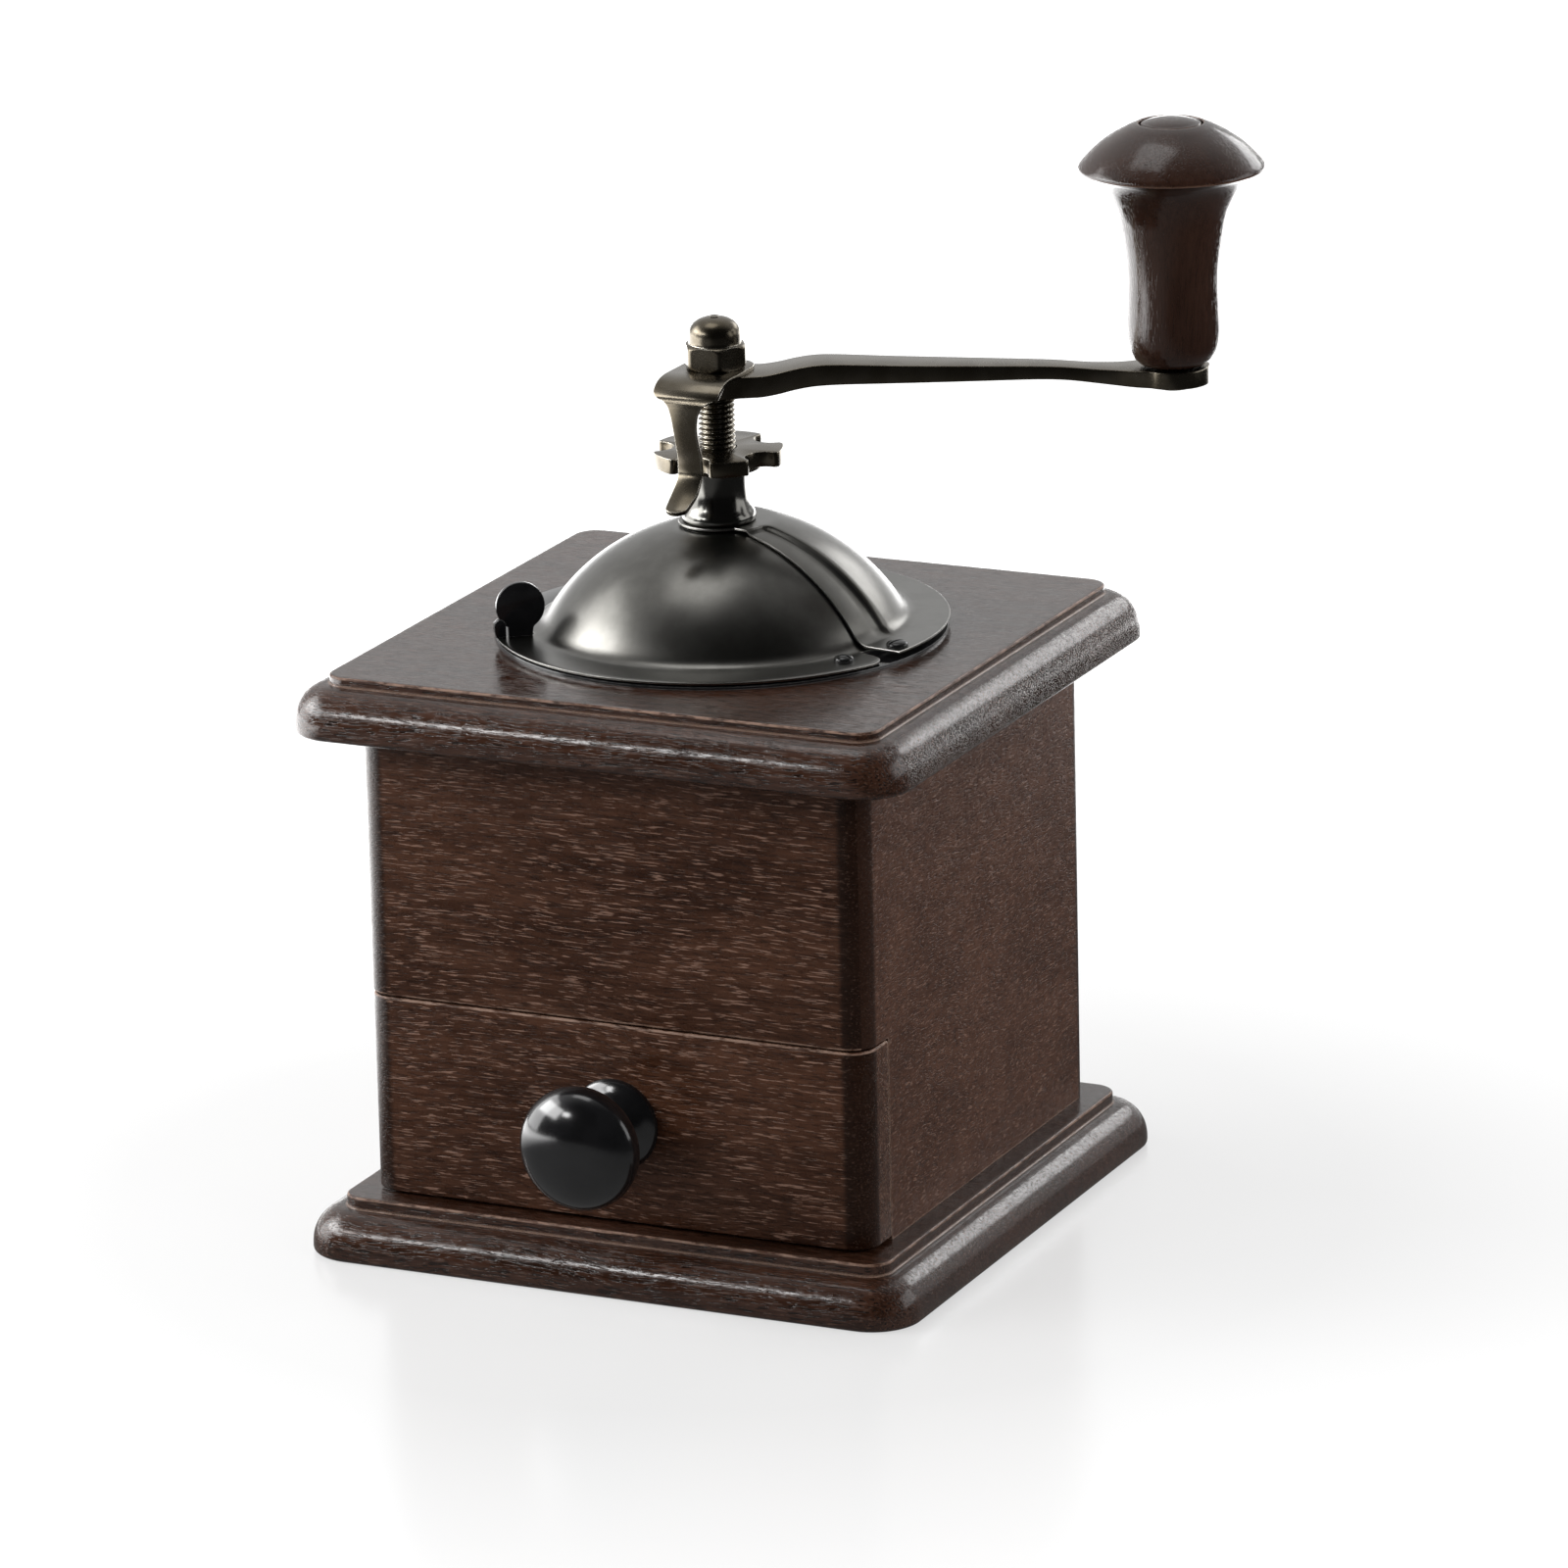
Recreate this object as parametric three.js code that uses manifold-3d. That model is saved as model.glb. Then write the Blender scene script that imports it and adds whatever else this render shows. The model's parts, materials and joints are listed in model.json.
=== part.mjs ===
// A manual box coffee grinder: a square wooden case between two moulded plates, a full-width drawer, and a
// steel dome that turns open over the hopper. The spindle hangs from a star nut on the hub of the dome,
// and a cranked arm with a turned wooden grip drives it.
//
// Millimetres, +Z up. The origin is the middle of the underside of the base plate. The drawer and its knob
// face -Y. Angles about the Z axis are in degrees from +X, counter-clockwise seen from above.

import * as THREE from 'three';
import { mergeVertices } from 'three/addons/utils/BufferGeometryUtils.js';
import Module from 'manifold-3d';

const wasm = await Module();
wasm.setup();

// Clearances.
const FIT = 0.3;              // between a piece and what carries it
const RUN = 0.6;              // between the drawer box and the case

// Plates above and below the case.
const PLATE_W = 126;          // outer width and depth of both plates
const PLATE_CORNER = 9.5;     // plan radius of their outer corners
const FLAT_CORNER = 4.5;      // plan radius of the raised flat's corners
const FOOT_ROUND = 1.0;       // small round at the lower edge
const BASE_T = 11.2;
const BASE_FLAT_W = 113.4;
const BASE_STEP = 2.4;
const TOP_T = 11.0;
const TOP_FLAT_W = 113;
const TOP_STEP = 1.8;
const PLATE_LAND = 0.8;       // upright land between the moulding and the lower round

// Case and drawer.
const CASE_W = 104;
const CASE_H = 91.8;
const CASE_WALL = 8;
const CASE_CORNER = 5;
const SEAM_Z = 50.6;          // middle of the seam above the drawer front
const SEAM = 0.4;
const FRONT_T = 10;           // drawer front, which wraps round both corners
const DRAWER_SIDE_T = 5;
const DRAWER_SIDE_H = 32;
const DRAWER_FLOOR_T = 3;
const DRAWER_FLOOR_LIFT = 1.6;
const DRAWER_BACK_ROOM = 1.5;
const BASE_SCREW_PITCH_Y = 56;
const WOOD_SCREW_R = 1.5;
const WOOD_SCREW_HEAD_R = 3.0;

// Drawer knob.
const KNOB_BASE_R = 9;
const KNOB_NECK_R = 3.7;
const KNOB_HEAD_R = 12;
const KNOB_HEAD_AT = 15.9;    // middle of the head from the drawer front
const KNOB_L = 22.2;
const KNOB_SCREW_R = 1.7;
const KNOB_SCREW_DEPTH = 8;
const KNOB_SCREW_HEAD_R = 3.8;
const KNOB_SCREW_HEAD_T = 1.8;

// Hopper, set in the top plate.
const HOPPER_RING_R = 44.2;
const HOPPER_RING_T = 0.6;
const HOPPER_R = 35.6;        // outside of the upright wall
const HOPPER_SHEET = 0.8;
const HOPPER_STRAIGHT = 9;    // depth of the upright part
const HOPPER_NECK_R = 28.6;   // inside of the cone's foot
const HOPPER_MOUTH_R = 19;    // hole in the floor
const HOPPER_DEPTH = 17.6;

// Burrs under the hopper.
const RING_BURR_R = 21;
const RING_BURR_H = 19;
const RING_BURR_TOP_R = 17.6;     // tooth tips of the outer burr at its mouth
const THROAT_DEPTH = 12;          // below it, the outer burr runs along the cone
const BURR_GAP = 0.9;             // between the tooth tips along the throat
const TOOTH_DEPTH = 1.3;
const RING_TEETH = 24;
const CONE_TEETH = 14;
const CONE_TOP_R = 8.4;
const CONE_LOW_R = 13.7;
const CONE_H = 21;
const CONE_TWIST = 0.5;           // turn of the teeth from top to bottom, in radians
const HOUSING_WALL = 2.4;
const HOUSING_FLANGE_T = 2.2;
const HOUSING_LIP_T = 1.8;        // lower lip that carries the outer burr
const HOUSING_LIP_R = 17.6;
const HOUSING_SCREW_R = 1.4;
const HOUSING_SCREW_HEAD_R = 2.2;
const BRIDGE_W = 11;
const BRIDGE_T = 3;
const BRIDGE_DROP = 10;           // gap between the bridge and the housing's lower edge
const BUSH_R = 5.2;
const BUSH_H = 6;

// Dome over the hopper: a turning shutter in front, a fixed cover behind.
const DOME_CENTRE_Z = -18;        // middle of all its spheres, from the top of the top plate
const SHUTTER_R = 39.3;
const COVER_R = 40.9;
const LIP_R = 40.1;               // the cover's band falls to this radius at its front edge
const SHEET = 0.5;
const CROWN_H = 21.4;             // flat crown of the cover above the top plate
const CROWN_R = 9.6;              // tongue of the crown that reaches round the hub
const SHUTTER_CROWN_DROP = 1.4;   // shutter's crown below the cover's
const FLANGE_R = 43.7;
const FLANGE_T = 0.6;
const FOOT_FLARE = 1.3;           // dome to flange
const FOOT_FLARE_H = 1.2;
const LIP_FRONT = 4.3;            // the cover's edges start this far in front of the axis
const LIP_ANGLE = -9.5;           // run of its right edge
const LEFT_LIP_ANGLE = 130;       // run of its left edge, at the back
const CREASE_FRONT = 1.2;         // the band starts this far in front of the axis
const SHUTTER_TUCK = 2.7;         // how far the shutter reaches under the cover
const SHUTTER_EYE_R = 7.2;
const SHUTTER_FLANGE_END = -18.6; // its flange runs from here clockwise to the thumb tab
const COVER_SCREW_ANGLES = [-11, 76, 118];
const COVER_SCREW_AT = 40.8;
const COVER_SCREW_HEAD_R = 2.1;
const COVER_SCREW_HEAD_H = 1.1;
const COVER_SCREW_L = 9;
const PAD_R = 2.4;
const SLOT_W = 0.7;
const STOP_ANGLE = -28;
const STOP_AT = 38.0;
const TAB_ANGLE = -143;
const TAB_R = 4.7;
const TAB_AT = 38.8;
const TAB_LIFT = 5.9;             // middle of the thumb disc above the flange
const TAB_T = 0.9;
const TAB_NECK_IN = 36.2;
const TAB_NECK_OUT = 43.7;
const TAB_NECK_H = 3.2;
const TAB_EAR_W = 2.2;
const TAB_EAR_H = 3.6;

// Hub, adjusting nut and spindle.
const HUB_RIM_R = 7.3;
const HUB_NECK_R = 5.6;
const HUB_H = 10.3;
const HUB_STEM_R = 5.4;
const HUB_LIP_R = 6.6;
const HUB_STEM_L = 2.6;
const THREAD_R = 3.5;
const THREAD_STEP = 0.5;
const SHAFT_R = THREAD_R + THREAD_STEP;
const THREAD_FLAT = 0.6;          // depth of the flat that keys the washer
const THREAD_FLAT_ANGLE = -120;
const WASHER_R = 8.3;
const WASHER_T = 0.8;
const STAR_R = 12.5;
const STAR_T = 3.0;
const STAR_LOBES = 5;
const STAR_NOTCH_R = 3.5;
const STAR_NOTCH_AT = 11.9;
const NOTCH_ANGLE = -90;          // the notch that the lock leaf serves
const THREAD_SHOWN = 10.6;        // between the star nut and the crank arm
const SQUARE_W = 5.0;             // square that drives the arm
const TOP_STUD_R = 2.5;
const TOP_STUD_L = 7;
const FOOT_R = 3.0;               // lower journal
const COLLAR_R = 8;
const COLLAR_T = 1.6;
const BURR_NUT_AF = 12;
const BURR_NUT_H = 3;

// Crank arm, cap nut and lock leaf.
const ARM_ANGLE = 24;
const ARM_L = 86.3;
const ARM_T_ROOT = 4.1;
const ARM_T_TIP = 3.3;
const ARM_RISE = 2.0;             // of the long middle run over the root
const ARM_TIP_RISE = 0.4;         // of the grip's boss over the root
const ARM_ROOT_R = 7.0;
const ARM_TIP_R = 6.8;
const ARM_W_ROOT = 9.4;
const ARM_W_TIP = 7.2;
const LEAF_T = 0.9;
const LEAF_W = 13.4;
const NUT_AF = 11;
const NUT_HEX_H = 4.7;
const NUT_DOME_R = 5.0;
const NUT_TURN = 2;

// Grip and its pin.
const GRIP_H = 46.4;
const GRIP_BORE = 3.0;
const GRIP_PIN_R = 2.6;
const GRIP_WELL_R = 5.75;         // well in the top, closed by the plug
const GRIP_WELL_DEPTH = 13;
const PIN_HEAD_R = 4.6;
const PIN_HEAD_T = 2.0;
const PLUG_T = 5;
const PLUG_CROWN = 1.0;

// Spring between the hub and the spindle's collar.
const SPRING_WIRE = 1.1;
const SPRING_R = 5.2;
const SPRING_CURLS = 6;

// Levels worked out from the sizes above.
const CASE_Z0 = BASE_T;
const CASE_Z1 = CASE_Z0 + CASE_H;
const PLATE_Z = CASE_Z1 + TOP_T;
const RING_Z1 = PLATE_Z + HOPPER_RING_T;
const SHUTTER_Z0 = RING_Z1 + FIT;
const SHUTTER_Z1 = SHUTTER_Z0 + FLANGE_T;
const COVER_Z0 = SHUTTER_Z1 + FIT;
const COVER_Z1 = COVER_Z0 + FLANGE_T;
const SPHERE_Z = PLATE_Z + DOME_CENTRE_Z;
const CROWN_Z = PLATE_Z + CROWN_H;
const HUB_TOP = CROWN_Z + HUB_H;
const STAR_Z0 = HUB_TOP + WASHER_T;
const STAR_Z1 = STAR_Z0 + STAR_T;
const ARM_Z0 = STAR_Z1 + THREAD_SHOWN;
const LEAF_Z0 = ARM_Z0 + ARM_T_ROOT;
const NUT_Z0 = LEAF_Z0 + LEAF_T;
const GRIP_Z0 = ARM_Z0 + ARM_TIP_RISE + ARM_T_TIP + FIT;
const HOPPER_Z0 = PLATE_Z - HOPPER_DEPTH;
const HOUSING_Z1 = HOPPER_Z0;
const BURR_Z1 = HOUSING_Z1 - FIT;
const BURR_Z0 = BURR_Z1 - RING_BURR_H;
const HOUSING_Z0 = BURR_Z0 - HOUSING_LIP_T;
const CONE_Z0 = BURR_Z0 - 0.6;
const CONE_Z1 = CONE_Z0 + CONE_H;
const BRIDGE_Z1 = HOUSING_Z0 - BRIDGE_DROP;
const BUSH_Z0 = BRIDGE_Z1 - BRIDGE_T - 1.5;

const half = (v) => v / 2;
const rad = THREE.MathUtils.degToRad;
const polar = (r, degrees, z = 0) => new THREE.Vector3(r * Math.cos(rad(degrees)), r * Math.sin(rad(degrees)), z);

// Solids and booleans.

function signedVolume(pos, tri) {
  const [a, b, c] = [new THREE.Vector3(), new THREE.Vector3(), new THREE.Vector3()];
  let v = 0;
  for (let i = 0; i < tri.length; i += 3) {
    a.fromArray(pos, tri[i] * 3);
    b.fromArray(pos, tri[i + 1] * 3);
    c.fromArray(pos, tri[i + 2] * 3);
    v += a.dot(b.cross(c));
  }
  return v;
}

// A closed three.js geometry becomes a solid, with its faces pointing out.
function solid(geometry) {
  const g = geometry.clone();
  g.deleteAttribute('normal');
  g.deleteAttribute('uv');
  const merged = mergeVertices(g, 1e-4);
  const pos = new Float32Array(merged.attributes.position.array);
  const tri = [];
  const idx = merged.index.array;
  for (let i = 0; i < idx.length; i += 3) {
    const [a, b, c] = [idx[i], idx[i + 1], idx[i + 2]];
    if (a !== b && b !== c && c !== a) tri.push(a, b, c);
  }
  if (signedVolume(pos, tri) < 0) {
    for (let i = 0; i < tri.length; i += 3) [tri[i], tri[i + 1]] = [tri[i + 1], tri[i]];
  }
  return new wasm.Manifold(new wasm.Mesh({ numProp: 3, vertProperties: pos, triVerts: new Uint32Array(tri) }));
}

function geometryOf(body) {
  const mesh = body.getMesh();
  const g = new THREE.BufferGeometry();
  const pos = new Float32Array(mesh.numVert * 3);
  for (let i = 0; i < mesh.numVert; i++) {
    for (let k = 0; k < 3; k++) pos[i * 3 + k] = mesh.vertProperties[i * mesh.numProp + k];
  }
  g.setAttribute('position', new THREE.BufferAttribute(pos, 3));
  g.setIndex(new THREE.BufferAttribute(new Uint32Array(mesh.triVerts), 1));
  g.computeVertexNormals();
  return g;
}

const cut = (body, ...tools) => tools.reduce((s, t) => s.subtract(t), body);
const join = (body, ...more) => more.reduce((s, t) => s.add(t), body);

function box(x0, x1, y0, y1, z0, z1) {
  const g = new THREE.BoxGeometry(x1 - x0, y1 - y0, z1 - z0);
  g.translate((x0 + x1) / 2, (y0 + y1) / 2, (z0 + z1) / 2);
  return solid(g);
}

function cylinder(r, z0, z1, sides = 28, x = 0, y = 0) {
  const g = new THREE.CylinderGeometry(r, r, z1 - z0, sides);
  g.rotateX(Math.PI / 2);
  g.translate(x, y, (z0 + z1) / 2);
  return solid(g);
}

// Turned piece: [radius, height] pairs along the profile, about Z.
function turned(profile, sides = 24) {
  const g = new THREE.LatheGeometry(profile.map(([r, z]) => new THREE.Vector2(r, z)), sides);
  g.rotateX(Math.PI / 2);
  return solid(g);
}

// Closed profile for a turned ring: the first point is repeated at the end.
const ring = (profile, sides) => turned([...profile, profile[0]], sides);

function extruded(shape, z0, z1, curveSegments = 6) {
  const g = new THREE.ExtrudeGeometry(shape, { depth: z1 - z0, bevelEnabled: false, curveSegments });
  g.translate(0, 0, z0);
  return solid(g);
}

const outline = (pairs) => new THREE.Shape(pairs.map(([x, y]) => new THREE.Vector2(x, y)));

// Solid through rings of points that all have the same count, closed with a flat fan at both ends.
function loft(rings) {
  const n = rings[0].length;
  const pos = rings.flat().flatMap((p) => [p.x, p.y, p.z]);
  const tri = [];
  for (let k = 0; k + 1 < rings.length; k++) {
    for (let i = 0; i < n; i++) {
      const j = (i + 1) % n;
      const [a, b, c, d] = [k * n + i, k * n + j, (k + 1) * n + j, (k + 1) * n + i];
      tri.push(a, b, c, a, c, d);
    }
  }
  for (const [k, flip] of [[0, true], [rings.length - 1, false]]) {
    const centre = new THREE.Vector3();
    rings[k].forEach((p) => centre.addScaledVector(p, 1 / n));
    const m = pos.length / 3;
    pos.push(centre.x, centre.y, centre.z);
    for (let i = 0; i < n; i++) {
      const j = (i + 1) % n;
      if (flip) tri.push(m, k * n + j, k * n + i);
      else tri.push(m, k * n + i, k * n + j);
    }
  }
  const g = new THREE.BufferGeometry();
  g.setAttribute('position', new THREE.BufferAttribute(new Float32Array(pos), 3));
  g.setIndex(tri);
  return solid(g);
}

function moved(body, matrix) {
  const g = geometryOf(body);
  g.applyMatrix4(matrix);
  return solid(g);
}

const turnZ = (body, degrees) => moved(body, new THREE.Matrix4().makeRotationZ(rad(degrees)));

// Points along a quarter of an ellipse, from angle a0 to a1 in degrees.
function arcPairs(cx, cy, rx, ry, a0, a1, steps) {
  return Array.from({ length: steps + 1 }, (_, i) => {
    const a = rad(a0 + ((a1 - a0) * i) / steps);
    return [cx + rx * Math.cos(a), cy + ry * Math.sin(a)];
  });
}

// Materials.

const finish = (color, roughness, metalness) => new THREE.MeshStandardMaterial({ color, roughness, metalness });
const wood = finish(0x3a2822, 0.45, 0.0);
const innerWood = finish(0x8a6a4c, 0.7, 0.0);
const gripWood = finish(0x3b2420, 0.3, 0.0);
const darkSteel = finish(0x4a4843, 0.38, 0.9);
const blackSteel = finish(0x24221f, 0.35, 0.85);
const burrIron = finish(0x55524d, 0.55, 0.9);
const brass = finish(0x9a7b42, 0.4, 0.9);
const springSteel = finish(0x6f6d68, 0.35, 0.95);

const grinder = new THREE.Group();

function place(name, body, material, parent = grinder) {
  const mesh = new THREE.Mesh(geometryOf(body), material);
  mesh.name = name;
  parent.add(mesh);
  return mesh;
}

// Plates: a raised flat, a small step, an ovolo moulding and a rounded lower edge.

function squareRing(h, r, z, steps = 3) {
  const pts = [];
  [[1, 1, 0], [-1, 1, 90], [-1, -1, 180], [1, -1, 270]].forEach(([sx, sy, a0]) => {
    arcPairs(sx * (h - r), sy * (h - r), r, r, a0, a0 + 90, steps).forEach(([x, y]) => pts.push(new THREE.Vector3(x, y, z)));
  });
  return pts;
}

function plate(z0, thickness, width, flatWidth, step) {
  const [h, f] = [half(width), half(flatWidth)];
  const radiusAt = (v) => FLAT_CORNER + ((PLATE_CORNER - FLAT_CORNER) * (v - f)) / (h - f);
  const z1 = z0 + thickness;
  const land = z0 + FOOT_ROUND + PLATE_LAND;
  const profile = [
    ...arcPairs(h - FOOT_ROUND, z0 + FOOT_ROUND, FOOT_ROUND, FOOT_ROUND, -90, 0, 2),
    ...arcPairs(f + 0.3, land, h - f - 0.3, z1 - step - land, 0, 90, 5),
    [f, z1 - step],
    [f, z1 - 0.3],
    [f - 0.3, z1],
  ];
  return loft(profile.map(([v, z]) => squareRing(v, Math.max(radiusAt(v), FLAT_CORNER - 0.3), z)));
}

const innerHalf = half(CASE_W) - CASE_WALL;
const baseScrewX = innerHalf + half(CASE_WALL);
const screwPlaces = [1, -1].flatMap((sx) => [1, -1].map((sy) => [sx * baseScrewX, (sy * BASE_SCREW_PITCH_Y) / 2]));
const BASE_SCREW_L = BASE_T + 14;
const SCREW_RECESS = 0.6;     // how far the heads sit above the underside

function woodScrew(length, headR, grow = 0) {
  const tip = grow > 0 ? length + 1 : length;
  return turned([
    [0, 0], [headR + grow, 0], [WOOD_SCREW_R + grow, headR - WOOD_SCREW_R], [WOOD_SCREW_R + grow, tip - 2],
    [0.2 + grow, tip], [0, tip],
  ], 20);
}

const shifted = (body, x, y, z) => moved(body, new THREE.Matrix4().makeTranslation(x, y, z));

// From below: the head's cone, then the shank, in a hole wider by the fit.
const screwHoles = screwPlaces.map(([x, y]) => join(
  cylinder(WOOD_SCREW_HEAD_R + FIT, -1, SCREW_RECESS + 0.01, 20, x, y),
  shifted(woodScrew(BASE_SCREW_L, WOOD_SCREW_HEAD_R, FIT), x, y, SCREW_RECESS),
));

place('base_plate', cut(plate(0, BASE_T, PLATE_W, BASE_FLAT_W, BASE_STEP), ...screwHoles), wood);
screwPlaces.forEach(([x, y], i) => {
  const slot = box(-WOOD_SCREW_HEAD_R - 1, WOOD_SCREW_HEAD_R + 1, -half(SLOT_W), half(SLOT_W), -1, 0.6);
  const screw = cut(woodScrew(BASE_SCREW_L, WOOD_SCREW_HEAD_R), slot);
  place(`base_screw_${i + 1}`, shifted(screw, x, y, SCREW_RECESS), darkSteel);
});

// Case: four boards, mitred through the rounded corners. Both boards of a corner use the same points.

const c = half(CASE_W);
const cornerArc = (sx, sy, a0, a1) => arcPairs(sx * (c - CASE_CORNER), sy * (c - CASE_CORNER), CASE_CORNER, CASE_CORNER, a0, a1, 4);

function board(turn) {
  // The board on the +X side, turned by a multiple of 90 degrees.
  const pts = [
    [innerHalf, -innerHalf],
    ...cornerArc(1, -1, -45, 0),
    ...cornerArc(1, 1, 0, 45),
    [innerHalf, innerHalf],
  ];
  const quarter = ([x, y]) => [-y, x];
  let out = pts;
  for (let i = 0; i < turn; i++) out = out.map(quarter);
  return outline(out);
}

const drawerFrontBack = -c + FRONT_T;
const notch = (sx) => box(
  Math.min(sx * (innerHalf - 1), sx * (c + 1)), Math.max(sx * (innerHalf - 1), sx * (c + 1)),
  -c - 1, drawerFrontBack + FIT, CASE_Z0 - 1, SEAM_Z + half(SEAM),
);
const boards = [['case_right_side', 0, 1], ['case_back_panel', 1, 0], ['case_left_side', 2, -1], ['case_front_panel', 3, 0]];
for (const [name, turn, side] of boards) {
  const z0 = name === 'case_front_panel' ? SEAM_Z + half(SEAM) : CASE_Z0;
  let body = extruded(board(turn), z0, CASE_Z1);
  if (side !== 0) body = cut(body, notch(side), ...screwHoles);
  place(name, body, wood);
}

// Top plate, with the hopper's bore and the pilot holes of the cover's screws.

const coverScrewPlaces = COVER_SCREW_ANGLES.map((a) => polar(COVER_SCREW_AT, a));
const coverScrewHoles = coverScrewPlaces.map((p) =>
  cylinder(WOOD_SCREW_R + FIT, COVER_Z1 - COVER_SCREW_L - 1, COVER_Z1 + 1, 16, p.x, p.y));
place('top_plate', cut(
  plate(CASE_Z1, TOP_T, PLATE_W, TOP_FLAT_W, TOP_STEP),
  cylinder(HOPPER_R + FIT, CASE_Z1 - 1, PLATE_Z + 1, 40),
  ...coverScrewHoles,
), wood);

// Drawer.

const drawer = new THREE.Group();
grinder.add(drawer);
const frontZ0 = CASE_Z0 + FIT;
const frontZ1 = SEAM_Z - half(SEAM);
const knobZ = (frontZ0 + frontZ1) / 2;
const frontShape = outline([
  [-c, drawerFrontBack], [c, drawerFrontBack],
  ...arcPairs(c - CASE_CORNER, -c + CASE_CORNER, CASE_CORNER, CASE_CORNER, 0, -90, 6),
  ...arcPairs(-c + CASE_CORNER, -c + CASE_CORNER, CASE_CORNER, CASE_CORNER, -90, -180, 6),
]);

// Turned about the knob's own axis, which points along -Y from the drawer front.
const alongKnob = new THREE.Matrix4().makeTranslation(0, -c, knobZ).multiply(new THREE.Matrix4().makeRotationX(Math.PI / 2));
const knobSized = (body) => moved(body, alongKnob);
const knobHole = knobSized(cylinder(KNOB_SCREW_R + FIT, -FRONT_T - 1, KNOB_SCREW_DEPTH + 1, 20));
place('drawer_front', cut(extruded(frontShape, frontZ0, frontZ1), knobHole), wood, drawer);

const boxOut = innerHalf - RUN;
const boxIn = boxOut - DRAWER_SIDE_T;
const boxBack = innerHalf - DRAWER_BACK_ROOM;
const boxZ1 = frontZ0 + DRAWER_SIDE_H;
place('drawer_left_side', box(-boxOut, -boxIn, drawerFrontBack, boxBack, frontZ0, boxZ1), innerWood, drawer);
place('drawer_right_side', box(boxIn, boxOut, drawerFrontBack, boxBack, frontZ0, boxZ1), innerWood, drawer);
place('drawer_back', box(-boxIn, boxIn, boxBack - DRAWER_SIDE_T, boxBack, frontZ0, boxZ1), innerWood, drawer);
const floorZ0 = frontZ0 + DRAWER_FLOOR_LIFT;
place('drawer_floor', box(-boxIn, boxIn, drawerFrontBack, boxBack - DRAWER_SIDE_T, floorZ0, floorZ0 + DRAWER_FLOOR_T),
  innerWood, drawer);

const knobHeadBack = KNOB_HEAD_AT - 5.2;
const knobProfile = [
  [0, 0], [KNOB_BASE_R - 0.3, 0], [KNOB_BASE_R, 0.5], [KNOB_BASE_R - 0.6, 1.3],
  [6.4, 2.6], [4.6, 4.6], [KNOB_NECK_R, 7.2], [KNOB_NECK_R + 0.5, 9.2],
  [6.6, knobHeadBack], [9.8, knobHeadBack + 1.7], [11.6, KNOB_HEAD_AT - 1.6],
  ...arcPairs(0, KNOB_HEAD_AT - 0.6, KNOB_HEAD_R, KNOB_L - KNOB_HEAD_AT + 0.6, 0, 90, 5),
];
const knobBore = cylinder(KNOB_SCREW_R + FIT, -1, KNOB_SCREW_DEPTH + FIT, 20);
place('drawer_knob', knobSized(cut(turned(knobProfile), knobBore)), blackSteel, drawer);
const knobScrewBack = -FRONT_T;
const knobSlot = box(-5, 5, -half(SLOT_W), half(SLOT_W), knobScrewBack - KNOB_SCREW_HEAD_T - 1, knobScrewBack - 1.1);
const knobScrew = join(
  cylinder(KNOB_SCREW_R, knobScrewBack - 1, KNOB_SCREW_DEPTH, 20),
  cylinder(KNOB_SCREW_HEAD_R, knobScrewBack - KNOB_SCREW_HEAD_T, knobScrewBack, 20),
);
place('drawer_knob_screw', knobSized(cut(knobScrew, knobSlot)), brass, drawer);

// Hopper: a rim with an upright wall in the top plate, a cone under the wall, and a flat floor under the cone.

const hopperIn = HOPPER_R - HOPPER_SHEET;
const coneTopZ = PLATE_Z - HOPPER_STRAIGHT;
const lipTop = HOPPER_Z0 + HOPPER_SHEET;
const housingOut = RING_BURR_R + FIT + HOUSING_WALL;
const housingScrewAt = (housingOut + HOPPER_NECK_R) / 2;
const housingScrewPlaces = [30, 150, 270].map((a) => polar(housingScrewAt, a));
const housingScrewHoles = housingScrewPlaces.map((p) =>
  cylinder(HOUSING_SCREW_R + FIT, HOUSING_Z1 - HOUSING_FLANGE_T - 4, lipTop + 2, 16, p.x, p.y));
const hopperRim = ring([
  [hopperIn, RING_Z1], [hopperIn, coneTopZ], [HOPPER_R, coneTopZ], [HOPPER_R, PLATE_Z],
  [HOPPER_RING_R, PLATE_Z], [HOPPER_RING_R, RING_Z1],
], 40);
place('hopper_rim', cut(hopperRim, ...coverScrewHoles), darkSteel);
const coneFootR = HOPPER_NECK_R + HOPPER_SHEET;
place('hopper_cone', ring([
  [hopperIn, coneTopZ], [HOPPER_NECK_R, lipTop], [coneFootR, lipTop], [HOPPER_R, coneTopZ],
], 40), darkSteel);
const hopperFloor = ring([
  [HOPPER_MOUTH_R, lipTop], [HOPPER_MOUTH_R, HOPPER_Z0], [coneFootR, HOPPER_Z0], [coneFootR, lipTop],
], 40);
place('hopper_floor', cut(hopperFloor, ...housingScrewHoles), darkSteel);

// Burr housing, hung from the hopper's floor by three screws. The toothed ring rests on its inner lip.

const bridgeScrewAt = housingOut + 3.4;
const bridgeScrewPlaces = [90, 270].map((a) => polar(bridgeScrewAt, a));
const bridgeScrewHoles = bridgeScrewPlaces.map((p) =>
  cylinder(HOUSING_SCREW_R + FIT, BRIDGE_Z1 - BRIDGE_T - 2, HOUSING_Z0 + 5, 16, p.x, p.y));
const housingShell = ring([
  [HOUSING_LIP_R, HOUSING_Z0], [housingOut, HOUSING_Z0], [housingOut, HOUSING_Z1 - HOUSING_FLANGE_T],
  [HOPPER_NECK_R, HOUSING_Z1 - HOUSING_FLANGE_T], [HOPPER_NECK_R, HOUSING_Z1], [RING_BURR_R + FIT, HOUSING_Z1],
  [RING_BURR_R + FIT, BURR_Z0], [HOUSING_LIP_R, BURR_Z0],
], 32);
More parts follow.
